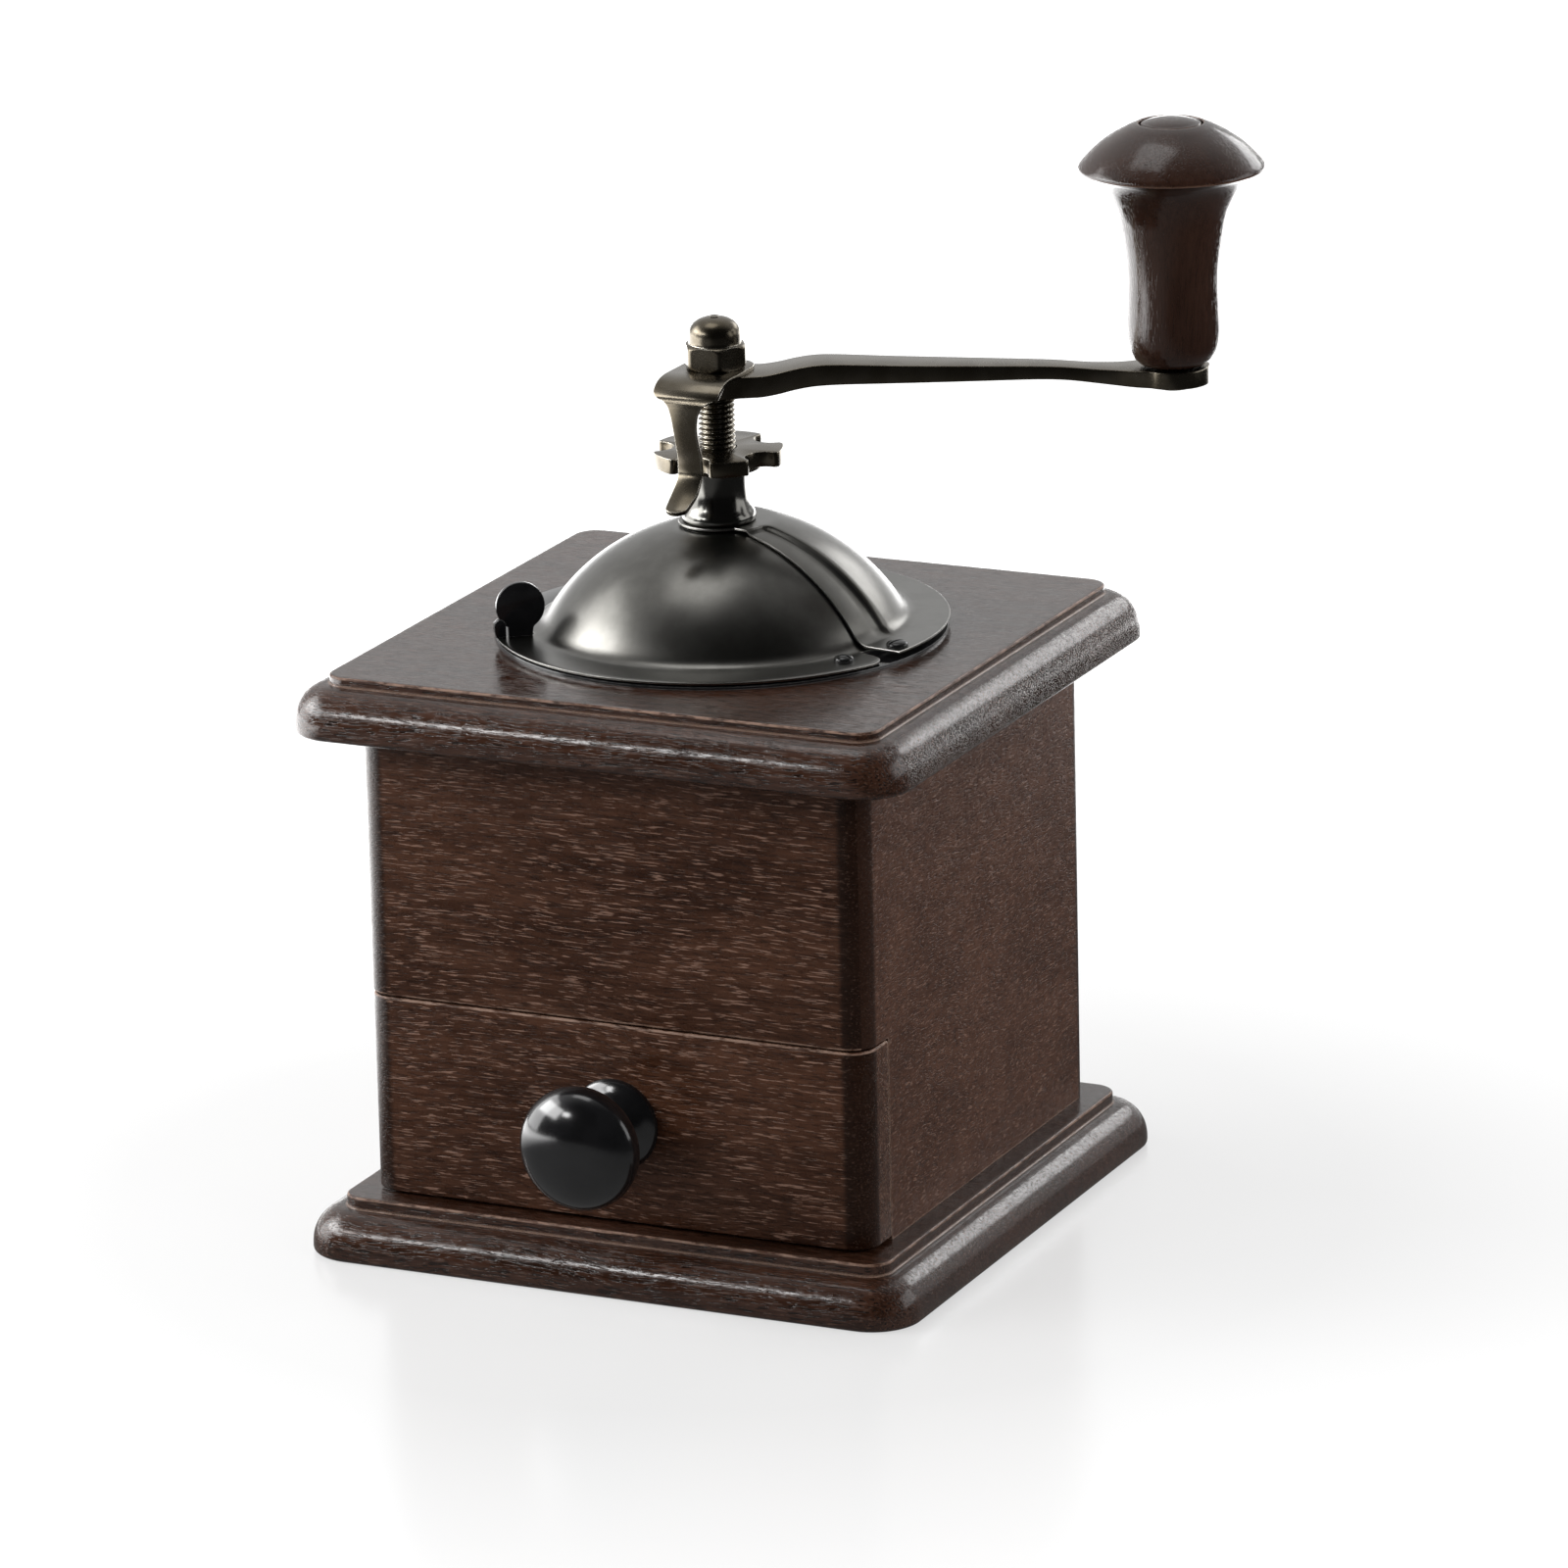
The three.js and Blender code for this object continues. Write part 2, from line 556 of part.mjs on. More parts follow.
const bridgeEars = bridgeScrewPlaces.map((p) => {
  const sy = Math.sign(p.y);
  const [near, far] = [sy * (housingOut - 1), p.y];
  const bar = box(-half(BRIDGE_W), half(BRIDGE_W), Math.min(near, far), Math.max(near, far), HOUSING_Z0, HOUSING_Z0 + 6);
  return join(bar, cylinder(half(BRIDGE_W), HOUSING_Z0, HOUSING_Z0 + 6, 24, 0, p.y));
});
place('burr_housing', cut(join(housingShell, ...bridgeEars), ...housingScrewHoles, ...bridgeScrewHoles), burrIron);
housingScrewPlaces.forEach((p, i) => {
  const shank = cylinder(HOUSING_SCREW_R, HOUSING_Z1 - HOUSING_FLANGE_T - 1.5, lipTop, 16, p.x, p.y);
  const head = cylinder(HOUSING_SCREW_HEAD_R, lipTop, lipTop + 1.4, 20, p.x, p.y);
  const slot = box(p.x - 4, p.x + 4, p.y - half(SLOT_W), p.y + half(SLOT_W), lipTop + 0.8, lipTop + 2);
  place(`housing_screw_${i + 1}`, cut(join(shank, head), slot), darkSteel);
});

// A toothed outline: tips and roots in turn, at radius r.
function toothed(r, depth, teeth, z, turn, inward) {
  const pts = [];
  for (let i = 0; i < teeth; i++) {
    for (const [k, drop] of [[0, 0], [0.62, 1]]) {
      const a = turn + (2 * Math.PI * (i + k)) / teeth;
      const q = inward ? r + drop * depth : r - drop * depth;
      pts.push(new THREE.Vector3(q * Math.cos(a), q * Math.sin(a), z));
    }
  }
  return pts;
}

const levels = (z0, z1, n) => Array.from({ length: n + 1 }, (_, i) => ({ z: z0 + ((z1 - z0) * i) / n, t: i / n }));
const coneTipAt = (z) => CONE_LOW_R + ((CONE_TOP_R - CONE_LOW_R) * (z - CONE_Z0)) / CONE_H;
const throatZ = BURR_Z1 - THROAT_DEPTH;
const ringTipAt = (z) => Math.max(
  coneTipAt(z) + BURR_GAP,
  RING_BURR_TOP_R - ((RING_BURR_TOP_R - coneTipAt(throatZ) - BURR_GAP) * (BURR_Z1 - z)) / THROAT_DEPTH,
);
const ringHole = loft([BURR_Z0 - 1, BURR_Z0 + 3.5, throatZ, (throatZ + BURR_Z1) / 2, BURR_Z1 + 1].map((z) =>
  toothed(ringTipAt(z), TOOTH_DEPTH, RING_TEETH, z, (-0.4 * CONE_TWIST * (z - BURR_Z0)) / RING_BURR_H, true)));
place('ring_burr', cut(cylinder(RING_BURR_R, BURR_Z0, BURR_Z1, 32), ringHole), burrIron);

// Lower bridge: a flat bar on two spacer posts, with the spindle's bush in the middle.

const bridgeBar = [box(-half(BRIDGE_W), half(BRIDGE_W), -bridgeScrewAt, bridgeScrewAt, BRIDGE_Z1 - BRIDGE_T, BRIDGE_Z1)];
const bridgePosts = bridgeScrewPlaces.flatMap((p) => [
  cylinder(half(BRIDGE_W), BRIDGE_Z1 - BRIDGE_T, BRIDGE_Z1, 24, p.x, p.y),
  cylinder(3.4, BRIDGE_Z1 - 0.5, HOUSING_Z0, 24, p.x, p.y),
]);
const bushHole = cylinder(BUSH_R, BUSH_Z0 - 3, BRIDGE_Z1 + 3, 28);
place('lower_bridge', cut(join(...bridgeBar, ...bridgePosts), bushHole, ...bridgeScrewHoles), burrIron);
place('bridge_bush', ring([
  [FOOT_R + FIT, BUSH_Z0], [BUSH_R + 1.6, BUSH_Z0], [BUSH_R + 1.6, BRIDGE_Z1 - BRIDGE_T],
  [BUSH_R - FIT, BRIDGE_Z1 - BRIDGE_T], [BUSH_R - FIT, BUSH_Z0 + BUSH_H], [FOOT_R + FIT, BUSH_Z0 + BUSH_H],
], 28), brass);
bridgeScrewPlaces.forEach((p, i) => {
  const low = BRIDGE_Z1 - BRIDGE_T;
  const shank = cylinder(HOUSING_SCREW_R, low, HOUSING_Z0 + 4, 16, p.x, p.y);
  const head = cylinder(HOUSING_SCREW_HEAD_R, low - 1.5, low, 20, p.x, p.y);
  const slot = box(p.x - 4, p.x + 4, p.y - half(SLOT_W), p.y + half(SLOT_W), low - 2, low - 0.9);
  place(`bridge_screw_${i + 1}`, cut(join(shank, head), slot), darkSteel);
});

// Dome. Every shell is the space between two lofts about the same middle. A loft's radius may change round
// the axis, so the cover's band can fall away to its front edge.

const FAR = 90;
const dir = (degrees) => new THREE.Vector2(Math.cos(rad(degrees)), Math.sin(rad(degrees)));
const lipStart = new THREE.Vector2(0, -LIP_FRONT);

function domeLoft(radiusOf, z0, footZ, flare, crownZ, sides = 40) {
  const at = (z, grow) => Array.from({ length: sides }, (_, i) => {
    const a = (2 * Math.PI * i) / sides;
    const high = Math.max(z - SPHERE_Z, 0);
    const r = Math.sqrt(radiusOf(a, z) ** 2 - high ** 2) + grow;
    return new THREE.Vector3(r * Math.cos(a), r * Math.sin(a), z);
  });
  const angle = (z) => Math.asin((z - SPHERE_Z) / LIP_R);
  const [a0, a1] = [angle(footZ + FOOT_FLARE_H), angle(crownZ)];
  const heights = Array.from({ length: 8 }, (_, i) => SPHERE_Z + LIP_R * Math.sin(a0 + ((a1 - a0) * i) / 7));
  return loft([
    at(footZ, flare).map((p) => p.clone().setZ(z0)), at(footZ, flare),
    at(footZ + FOOT_FLARE_H / 2, flare * 0.3), ...heights.map((z) => at(z, 0)),
  ]);
}

// The cover's outer radius: full behind the crease, falling to the lip's over the band at the right front.
function coverRadius(a, z) {
  const r = Math.sqrt(COVER_R ** 2 - (z - SPHERE_Z) ** 2);
  const [x, y] = [r * Math.cos(a), r * Math.sin(a)];
  if (x <= 0) return COVER_R;
  const band = LIP_FRONT - x * Math.tan(rad(LIP_ANGLE)) - CREASE_FRONT;
  return COVER_R - (COVER_R - LIP_R) * THREE.MathUtils.clamp((-y - CREASE_FRONT) / band, 0, 1);
}

// Plan of what lies behind both lips, moved into the cover by the given depth.
function behindLips(depth) {
  const [right, left] = [dir(LIP_ANGLE), dir(LEFT_LIP_ANGLE)];
  const inward = [dir(LIP_ANGLE + 90), dir(LEFT_LIP_ANGLE - 90)];
  const det = inward[0].x * inward[1].y - inward[0].y * inward[1].x;
  const q = new THREE.Vector2(
    (depth * (inward[1].y - inward[0].y)) / det, (depth * (inward[0].x - inward[1].x)) / det).add(lipStart);
  const [a, b] = [q.clone().addScaledVector(right, FAR), q.clone().addScaledVector(left, FAR)];
  return { q, a, b };
}

const cover = behindLips(0);
const coverPlan = extruded(outline([
  [cover.q.x, cover.q.y], [cover.a.x, cover.a.y], [FAR, FAR], [cover.b.x, cover.b.y],
]), PLATE_Z, CROWN_Z + 2);
const coverOuter = domeLoft(coverRadius, COVER_Z0, COVER_Z1, FOOT_FLARE, CROWN_Z);
const coverInner = domeLoft((a, z) => coverRadius(a, z) - SHEET, COVER_Z0 - 1, COVER_Z0, FOOT_FLARE + 0.4, CROWN_Z - SHEET);
const coverPads = coverScrewPlaces.map((p) => cylinder(PAD_R, RING_Z1, COVER_Z0 + 0.1, 16, p.x, p.y));
const tongue = cylinder(CROWN_R, CROWN_Z - SHEET, CROWN_Z, 32);
const coverShell = cut(join(coverOuter, cylinder(FLANGE_R, COVER_Z0, COVER_Z1, 60)), coverInner).intersect(coverPlan);
place('dome_cover', cut(
  join(coverShell, tongue, ...coverPads),
  cylinder(HUB_STEM_R + FIT, CROWN_Z - 3, CROWN_Z + 3, 28), ...coverScrewHoles,
), darkSteel);

function roundHeadScrew(r, height, shankR, length) {
  const body = turned([
    [0, -length], [shankR, -length + 1], [shankR, 0], [r, 0], [r, 0.25],
    ...arcPairs(0, 0.25, r, height - 0.25, 0, 90, 3).slice(1),
  ], 16);
  return cut(body, box(-r - 1, r + 1, -half(SLOT_W), half(SLOT_W), height * 0.45, height + 1));
}

const atFlange = (body, p, z, degrees) => moved(body, new THREE.Matrix4().makeTranslation(p.x, p.y, z)
  .multiply(new THREE.Matrix4().makeRotationZ(rad(degrees))));
coverScrewPlaces.forEach((p, i) => {
  const screw = roundHeadScrew(COVER_SCREW_HEAD_R, COVER_SCREW_HEAD_H, WOOD_SCREW_R, COVER_SCREW_L - FLANGE_T);
  place(`cover_screw_${i + 1}`, atFlange(screw, p, COVER_Z1, 62 + i * 50), blackSteel);
});

// Shutter: it turns on the hopper's ring, tucked under the cover along both lips. Its flange runs from the
// thumb tab to a rounded end under the cover's front corner.

const shutter = new THREE.Group();
grinder.add(shutter);
const shutterCrownZ = CROWN_Z - SHUTTER_CROWN_DROP;
const tuck = behindLips(SHUTTER_TUCK);
const shutterPlan = extruded(outline([
  [tuck.q.x, tuck.q.y], [tuck.b.x, tuck.b.y], [-FAR, FAR], [-FAR, -FAR], [FAR, -FAR], [tuck.a.x, tuck.a.y],
]), PLATE_Z, CROWN_Z);
const flangeStart = TAB_ANGLE - 1;
const flangeRun = [];
for (let a = flangeStart; a < SHUTTER_FLANGE_END - 6; a += 6) flangeRun.push([FLANGE_R, a]);
flangeRun.push([FLANGE_R, SHUTTER_FLANGE_END - 5.4], [FLANGE_R - 0.5, SHUTTER_FLANGE_END - 3.2],
  [FLANGE_R - 1.6, SHUTTER_FLANGE_END - 1.4], [FLANGE_R - 3.2, SHUTTER_FLANGE_END - 0.3], [FLANGE_R - 5, SHUTTER_FLANGE_END]);
const shutterFlange = extruded(
  outline([[0, 0], ...flangeRun.map(([r, a]) => dir(a).multiplyScalar(r).toArray())]), SHUTTER_Z0, SHUTTER_Z1);
const stopPlace = polar(STOP_AT, STOP_ANGLE);
const shutterOuter = domeLoft(() => SHUTTER_R, SHUTTER_Z0, SHUTTER_Z1, FOOT_FLARE, shutterCrownZ);
const shutterInner = domeLoft(() => SHUTTER_R - SHEET, SHUTTER_Z0 - 1, SHUTTER_Z0, FOOT_FLARE, shutterCrownZ - SHEET);
place('shutter', cut(
  join(shutterOuter.intersect(shutterPlan), shutterFlange), shutterInner,
  cylinder(SHUTTER_EYE_R, shutterCrownZ - 3, shutterCrownZ + 1, 32),
  cylinder(1.2 + FIT, SHUTTER_Z0 - 1, SHUTTER_Z1 + 1, 16, stopPlace.x, stopPlace.y),
), darkSteel, shutter);
const stopRivet = roundHeadScrew(1.9, 1.2, 1.2, FLANGE_T);
place('shutter_stop_rivet', atFlange(stopRivet, stopPlace, SHUTTER_Z1, -10), blackSteel, shutter);

// Thumb tab: an upright disc in the radial plane, on a short neck with a small ear.
const tabShape = join(
  extruded(new THREE.Shape().absarc(TAB_AT, TAB_LIFT, TAB_R, 0, 2 * Math.PI), -half(TAB_T), half(TAB_T), 12),
  extruded(outline([[TAB_NECK_IN, 0], [TAB_NECK_OUT, 0], [TAB_NECK_OUT - 1, TAB_NECK_H], [TAB_NECK_IN, TAB_NECK_H]]),
    -half(TAB_T), half(TAB_T)),
  extruded(outline([[TAB_NECK_OUT - TAB_EAR_W, 0], [TAB_NECK_OUT, 0], [TAB_NECK_OUT + 0.4, TAB_EAR_H * 0.7],
    [TAB_NECK_OUT - 0.4, TAB_EAR_H], [TAB_NECK_OUT - TAB_EAR_W, TAB_EAR_H]]), -TAB_T, half(TAB_T)),
);
const tabUp = new THREE.Matrix4().makeTranslation(0, 0, SHUTTER_Z1).multiply(new THREE.Matrix4()
  .makeRotationZ(rad(TAB_ANGLE))).multiply(new THREE.Matrix4().makeRotationX(Math.PI / 2));
place('shutter_thumb_tab', moved(tabShape, tabUp), blackSteel, shutter);

// Hub: a trumpet-shaped bearing collar, held in the crown by its stem and a swaged lip.

const hubBore = SHAFT_R + FIT;
const hubUnder = CROWN_Z - SHEET;
place('hub', ring([
  [hubBore, CROWN_Z - HUB_STEM_L], [HUB_STEM_R, CROWN_Z - HUB_STEM_L], [HUB_LIP_R, hubUnder - 0.4],
  [HUB_LIP_R, hubUnder], [HUB_STEM_R, hubUnder], [HUB_STEM_R, CROWN_Z], [HUB_RIM_R, CROWN_Z],
  [HUB_RIM_R, CROWN_Z + 0.9], [HUB_RIM_R - 0.35, CROWN_Z + 1.5], [6.35, CROWN_Z + 3.2],
  [5.75, CROWN_Z + 5.2], [HUB_NECK_R - 0.1, CROWN_Z + 7.2], [HUB_NECK_R, HUB_TOP - 0.5],
  [HUB_NECK_R + 0.3, HUB_TOP], [hubBore, HUB_TOP],
]), darkSteel);

// Spindle and what turns on it. The flat along the thread keys the washer under the star nut.

const crank = new THREE.Group();
grinder.add(crank);
const flatAway = (grow) => turnZ(box(THREAD_R - THREAD_FLAT + grow, THREAD_R + 2, -5, 5, HUB_TOP - 3, ARM_Z0), THREAD_FLAT_ANGLE);
const keyedBore = cut(cylinder(THREAD_R + FIT, HUB_TOP - 1, STAR_Z0 + 1, 32), flatAway(FIT));
place('thrust_washer', cut(cylinder(WASHER_R, HUB_TOP, STAR_Z0), keyedBore), darkSteel, crank);

const notches = Array.from({ length: STAR_LOBES }, (_, i) => {
  const p = polar(STAR_NOTCH_AT, NOTCH_ANGLE + (360 / STAR_LOBES) * i);
  return cylinder(STAR_NOTCH_R, STAR_Z0 - 1, STAR_Z1 + 1, 20, p.x, p.y);
});
const starBore = cylinder(THREAD_R + FIT, STAR_Z0 - 1, STAR_Z1 + 1, 32);
place('star_nut', cut(cylinder(STAR_R, STAR_Z0, STAR_Z1, 50), starBore, ...notches), darkSteel, crank);

const nutSeat = ARM_Z0 + ARM_T_ROOT;
const studTop = nutSeat + TOP_STUD_L;
const footZ = BUSH_Z0 - 1;
const burrSeat = CONE_Z0 - BURR_NUT_H - FIT;
const spindleRound = turned([
  [0, footZ], [FOOT_R - 0.5, footZ], [FOOT_R, footZ + 0.5], [FOOT_R, burrSeat - 1], [SHAFT_R - 0.4, burrSeat - 1],
  [SHAFT_R - 0.4, CONE_Z0 + 1], [SHAFT_R, CONE_Z0 + 1], [SHAFT_R, CONE_Z1 + FIT], [COLLAR_R, CONE_Z1 + FIT],
  [COLLAR_R, CONE_Z1 + FIT + COLLAR_T], [SHAFT_R, CONE_Z1 + FIT + COLLAR_T], [SHAFT_R, HUB_TOP - 1],
  [THREAD_R, HUB_TOP - 0.5], [THREAD_R, ARM_Z0], [0, ARM_Z0],
]);
const square = box(-half(SQUARE_W), half(SQUARE_W), -half(SQUARE_W), half(SQUARE_W), ARM_Z0 - 0.5, nutSeat - 0.3);
const stud = cylinder(TOP_STUD_R, nutSeat - 0.5, studTop, 28);
place('spindle', join(cut(spindleRound, flatAway(0)), turnZ(square, ARM_ANGLE), stud), darkSteel, crank);

// Cone burr, held up by its nut, with twisted teeth that run close to the outer burr's below the throat.

const coneBody = loft(levels(CONE_Z0, CONE_Z1, 6).map(({ z, t }) =>
  toothed(coneTipAt(z), TOOTH_DEPTH, CONE_TEETH, z, CONE_TWIST * t, false)));
place('cone_burr', cut(coneBody, cylinder(SHAFT_R + FIT, CONE_Z0 - 1, CONE_Z1 + 1, 28)), burrIron, crank);

const hexagon = (acrossFlats, degrees) => outline(Array.from({ length: 6 }, (_, i) => {
  const p = polar(acrossFlats / Math.sqrt(3), degrees + 60 * i);
  return [p.x, p.y];
}));
place('burr_nut', cut(extruded(hexagon(BURR_NUT_AF, 0), burrSeat, CONE_Z0),
  cylinder(SHAFT_R - 0.4 + FIT, burrSeat - 1, CONE_Z0 + 1, 28)), darkSteel, crank);

// Preload spring, round the spindle inside the hopper, from the collar up to the hub.

const springZ0 = CONE_Z1 + FIT + COLLAR_T + FIT + half(SPRING_WIRE);
const springZ1 = CROWN_Z - HUB_STEM_L - FIT - half(SPRING_WIRE);

class Coil extends THREE.Curve {
  getPoint(t, target = new THREE.Vector3()) {
    const lead = SPRING_WIRE / (2 * Math.PI * SPRING_R * SPRING_CURLS);
    const u = THREE.MathUtils.clamp(t, lead, 1 - lead);
    const a = 2 * Math.PI * SPRING_CURLS * u;
    target.set(SPRING_R * Math.cos(a), SPRING_R * Math.sin(a), springZ0 + (springZ1 - springZ0) * u);
    // Past the last turn, the wire runs straight for its own diameter.
    const over = (t - u) * 2 * Math.PI * SPRING_R * SPRING_CURLS;
    return target.add(new THREE.Vector3(-Math.sin(a), Math.cos(a), 0).multiplyScalar(over));
  }
}
const wireSection = new THREE.Shape(Array.from({ length: 5 }, (_, i) =>
  new THREE.Vector2(half(SPRING_WIRE) * Math.cos(rad(72 * i)), half(SPRING_WIRE) * Math.sin(rad(72 * i)))));
place('preload_spring', solid(new THREE.ExtrudeGeometry(wireSection, {
  steps: SPRING_CURLS * 8, extrudePath: new Coil(), bevelEnabled: false,
})), springSteel, crank);
const coilPoints = new Coil().getPoints(SPRING_CURLS * 24);
let leastGap = Infinity;
coilPoints.forEach((p, i) => coilPoints.slice(i + 12).forEach((q) => {
  leastGap = Math.min(leastGap, p.distanceTo(q) - SPRING_WIRE);
}));
console.log(`preload spring: least gap between turns ${leastGap.toFixed(2)} mm`);

// Crank arm: the side view and the plan, each extruded, and what they have in common.

const armMid = ARM_RISE;
const armSide = [
  [-ARM_ROOT_R - 1, 0], [9, 0], [12, 0.5], [15, 1.3], [18.5, 1.85], [23, armMid],
  [62, armMid], [67, armMid - 0.35], [73, armMid - 1.1], [78, ARM_TIP_RISE + 0.1], [82, ARM_TIP_RISE],
  [ARM_L + ARM_TIP_R + 1, ARM_TIP_RISE],
];
const thicknessAt = (s) => ARM_T_ROOT + (ARM_T_TIP - ARM_T_ROOT) * THREE.MathUtils.smoothstep(s, 22, 66);
const upper = armSide.map(([s, z]) => [s, z + thicknessAt(s)]).reverse();
const sideSlab = moved(extruded(outline([...armSide, ...upper]), -20, 20),
  new THREE.Matrix4().makeTranslation(0, 0, ARM_Z0).multiply(new THREE.Matrix4().makeRotationX(Math.PI / 2)));
const armPlan = outline([
  ...arcPairs(0, 0, ARM_ROOT_R, ARM_ROOT_R, 50, 310, 16),
  [16, -half(ARM_W_ROOT)], [44, -half(ARM_W_TIP)], [70, -half(ARM_W_TIP)], [76, -half(ARM_W_TIP) - 0.5],
  ...arcPairs(ARM_L, 0, ARM_TIP_R, ARM_TIP_R, -130, 130, 16),
  [76, half(ARM_W_TIP) + 0.5], [70, half(ARM_W_TIP)], [44, half(ARM_W_TIP)], [16, half(ARM_W_ROOT)],
]);
const squareHole = box(-half(SQUARE_W) - FIT, half(SQUARE_W) + FIT, -half(SQUARE_W) - FIT, half(SQUARE_W) + FIT,
  ARM_Z0 - 1, nutSeat + 1);
const pinHole = cylinder(GRIP_PIN_R + FIT, ARM_Z0 - 2, GRIP_Z0 + 2, 24, ARM_L, 0);
const arm = cut(sideSlab.intersect(extruded(armPlan, ARM_Z0 - 2, ARM_Z0 + 12)), squareHole, pinHole);
place('crank_arm', turnZ(arm, ARM_ANGLE), darkSteel, crank);

// Lock leaf: a strip from under the cap nut, over the bend and down past the star nut.
// Each station holds the distance from the axis, the height and the width of the strip.

const leafMid = LEAF_Z0 + half(LEAF_T);
const leafClear = STAR_R + FIT + half(LEAF_T);      // where the leaf passes the lobes
const stations = [
  [-6.4, leafMid, 8], [-4.6, leafMid, 11.6], [-2, leafMid, LEAF_W], [4, leafMid, LEAF_W], [8, leafMid, LEAF_W],
  [10.6, leafMid - 0.45, LEAF_W], [12.8, leafMid - 1.8, LEAF_W - 0.2], [13.9, leafMid - 3.2, LEAF_W - 1.4],
  [14.3, leafMid - 4.8, 7.6], [14.35, leafMid - 6.6, 6.2], [14.1, leafMid - 8.9, 5.4], [13.7, leafMid - 11.4, 5.2],
  [leafClear + 0.1, leafMid - 13.6, 5.4], [leafClear, STAR_Z1, 5.6], [leafClear, STAR_Z0 + 1, 5.6],
  [leafClear + 0.8, STAR_Z0 - 0.6, 5.3], [leafClear + 2.4, STAR_Z0 - 2.4, 5.0], [leafClear + 4.6, STAR_Z0 - 4.1, 4.8],
  [leafClear + 6.4, STAR_Z0 - 5.1, 3.4],
];
const BEND_AT = 5;            // the leaf flexes at this station

function leafStrip(list) {
  const mid = list.map(([s, z, w]) => ({ p: new THREE.Vector2(s, z), w }));
  return loft(mid.map(({ p, w }, i) => {
    const before = mid[Math.max(i - 1, 0)].p;
    const after = mid[Math.min(i + 1, mid.length - 1)].p;
    const along = after.clone().sub(before).normalize();
    const n = new THREE.Vector2(-along.y, along.x).multiplyScalar(half(LEAF_T));
    const [o, q] = [p.clone().add(n), p.clone().sub(n)];
    return [
      new THREE.Vector3(o.x, -half(w), o.y), new THREE.Vector3(o.x, half(w), o.y),
      new THREE.Vector3(q.x, half(w), q.y), new THREE.Vector3(q.x, -half(w), q.y),
    ];
  }));
}

const studHole = cylinder(TOP_STUD_R + FIT, LEAF_Z0 - 1, NUT_Z0 + 1, 28);
const bend = stations[BEND_AT];
const bendDir = new THREE.Vector2(stations[BEND_AT + 1][0] - bend[0], stations[BEND_AT + 1][1] - bend[1]).normalize();
const afterBend = [bend[0] + bendDir.x * FIT, bend[1] + bendDir.y * FIT, bend[2]];
place('lock_leaf', turnZ(cut(leafStrip(stations.slice(0, BEND_AT + 1)), studHole), NOTCH_ANGLE), darkSteel, crank);
place('leaf_tail', turnZ(leafStrip([afterBend, ...stations.slice(BEND_AT + 1)]), NOTCH_ANGLE), darkSteel, crank);

// Cap nut: a hexagon under a dome, with a small flat on top.

const domeZ = NUT_Z0 + NUT_HEX_H;
const capDome = turned([
  [0, domeZ - 1], [NUT_DOME_R, domeZ - 1], ...arcPairs(0, domeZ, NUT_DOME_R, NUT_DOME_R + 0.3, 0, 76, 5), [0, domeZ + 5.14],
]);
const hexLimit = turned([
  [0, NUT_Z0], [5.75, NUT_Z0], [6.35, NUT_Z0 + 0.6], [6.35, domeZ - 0.7], [5.3, domeZ], [0, domeZ],
]);
const capHole = cylinder(TOP_STUD_R + FIT, NUT_Z0 - 1, studTop + FIT, 28);
place('cap_nut', cut(join(extruded(hexagon(NUT_AF, NUT_TURN), NUT_Z0, domeZ).intersect(hexLimit), capDome), capHole),
  darkSteel, crank);

// Grip on its pin. The pin is riveted in the arm, and its head sits in the well under the plug.

const gripPlace = polar(ARM_L, ARM_ANGLE);
const atGrip = (body) => shifted(body, gripPlace.x, gripPlace.y, 0);
const gripZ1 = GRIP_Z0 + GRIP_H;
const wellZ = gripZ1 - GRIP_WELL_DEPTH;
const gripProfile = [
  [GRIP_BORE, GRIP_Z0], [5.6, GRIP_Z0], [7.4, GRIP_Z0 + 1.4], [8.6, GRIP_Z0 + 3.8], [8.95, GRIP_Z0 + 7],
  [8.8, GRIP_Z0 + 12], [8.75, GRIP_Z0 + 16], [9.0, GRIP_Z0 + 20], [9.5, GRIP_Z0 + 24], [10.4, GRIP_Z0 + 28],
  [11.8, GRIP_Z0 + 31], [13.6, GRIP_Z0 + 33.6], [15.8, GRIP_Z0 + 35.4], [17.5, GRIP_Z0 + 36], [17.75, GRIP_Z0 + 36.5],
  [17.25, GRIP_Z0 + 37.4], [15.6, GRIP_Z0 + 39.6], [13.6, GRIP_Z0 + 41.9], [11.1, GRIP_Z0 + 44.0],
  [8.3, GRIP_Z0 + 45.6], [GRIP_WELL_R + FIT, gripZ1], [GRIP_WELL_R + FIT, wellZ], [GRIP_BORE, wellZ],
];
place('grip', atGrip(ring(gripProfile, 24)), gripWood, crank);
place('grip_plug', atGrip(turned([
  [0, gripZ1 - PLUG_T], [GRIP_WELL_R, gripZ1 - PLUG_T], [GRIP_WELL_R, gripZ1 - 0.1],
  ...arcPairs(0, gripZ1 - 0.1, GRIP_WELL_R, PLUG_CROWN + 0.1, 0, 90, 3).slice(1),
])), gripWood, crank);
const armTipZ = ARM_Z0 + ARM_TIP_RISE;
place('grip_pin', atGrip(turned([
  [0, armTipZ - 0.9], [GRIP_PIN_R + 0.9, armTipZ - 0.9], [GRIP_PIN_R + 1.4, armTipZ], [GRIP_PIN_R, armTipZ],
  [GRIP_PIN_R, wellZ + FIT], [PIN_HEAD_R, wellZ + FIT], [PIN_HEAD_R, wellZ + FIT + PIN_HEAD_T],
  [0, wellZ + FIT + PIN_HEAD_T],
], 28)), darkSteel, crank);

export default grinder;
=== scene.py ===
# %% [markdown]
# # A manual box coffee grinder
#
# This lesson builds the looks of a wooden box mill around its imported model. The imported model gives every
# body, joint and size. Here each piece that shows gets a finer mesh, with real edges, and a finish.
# All lengths below are written in millimetres and turned into metres when a mesh is made.

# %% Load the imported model
import json
import math

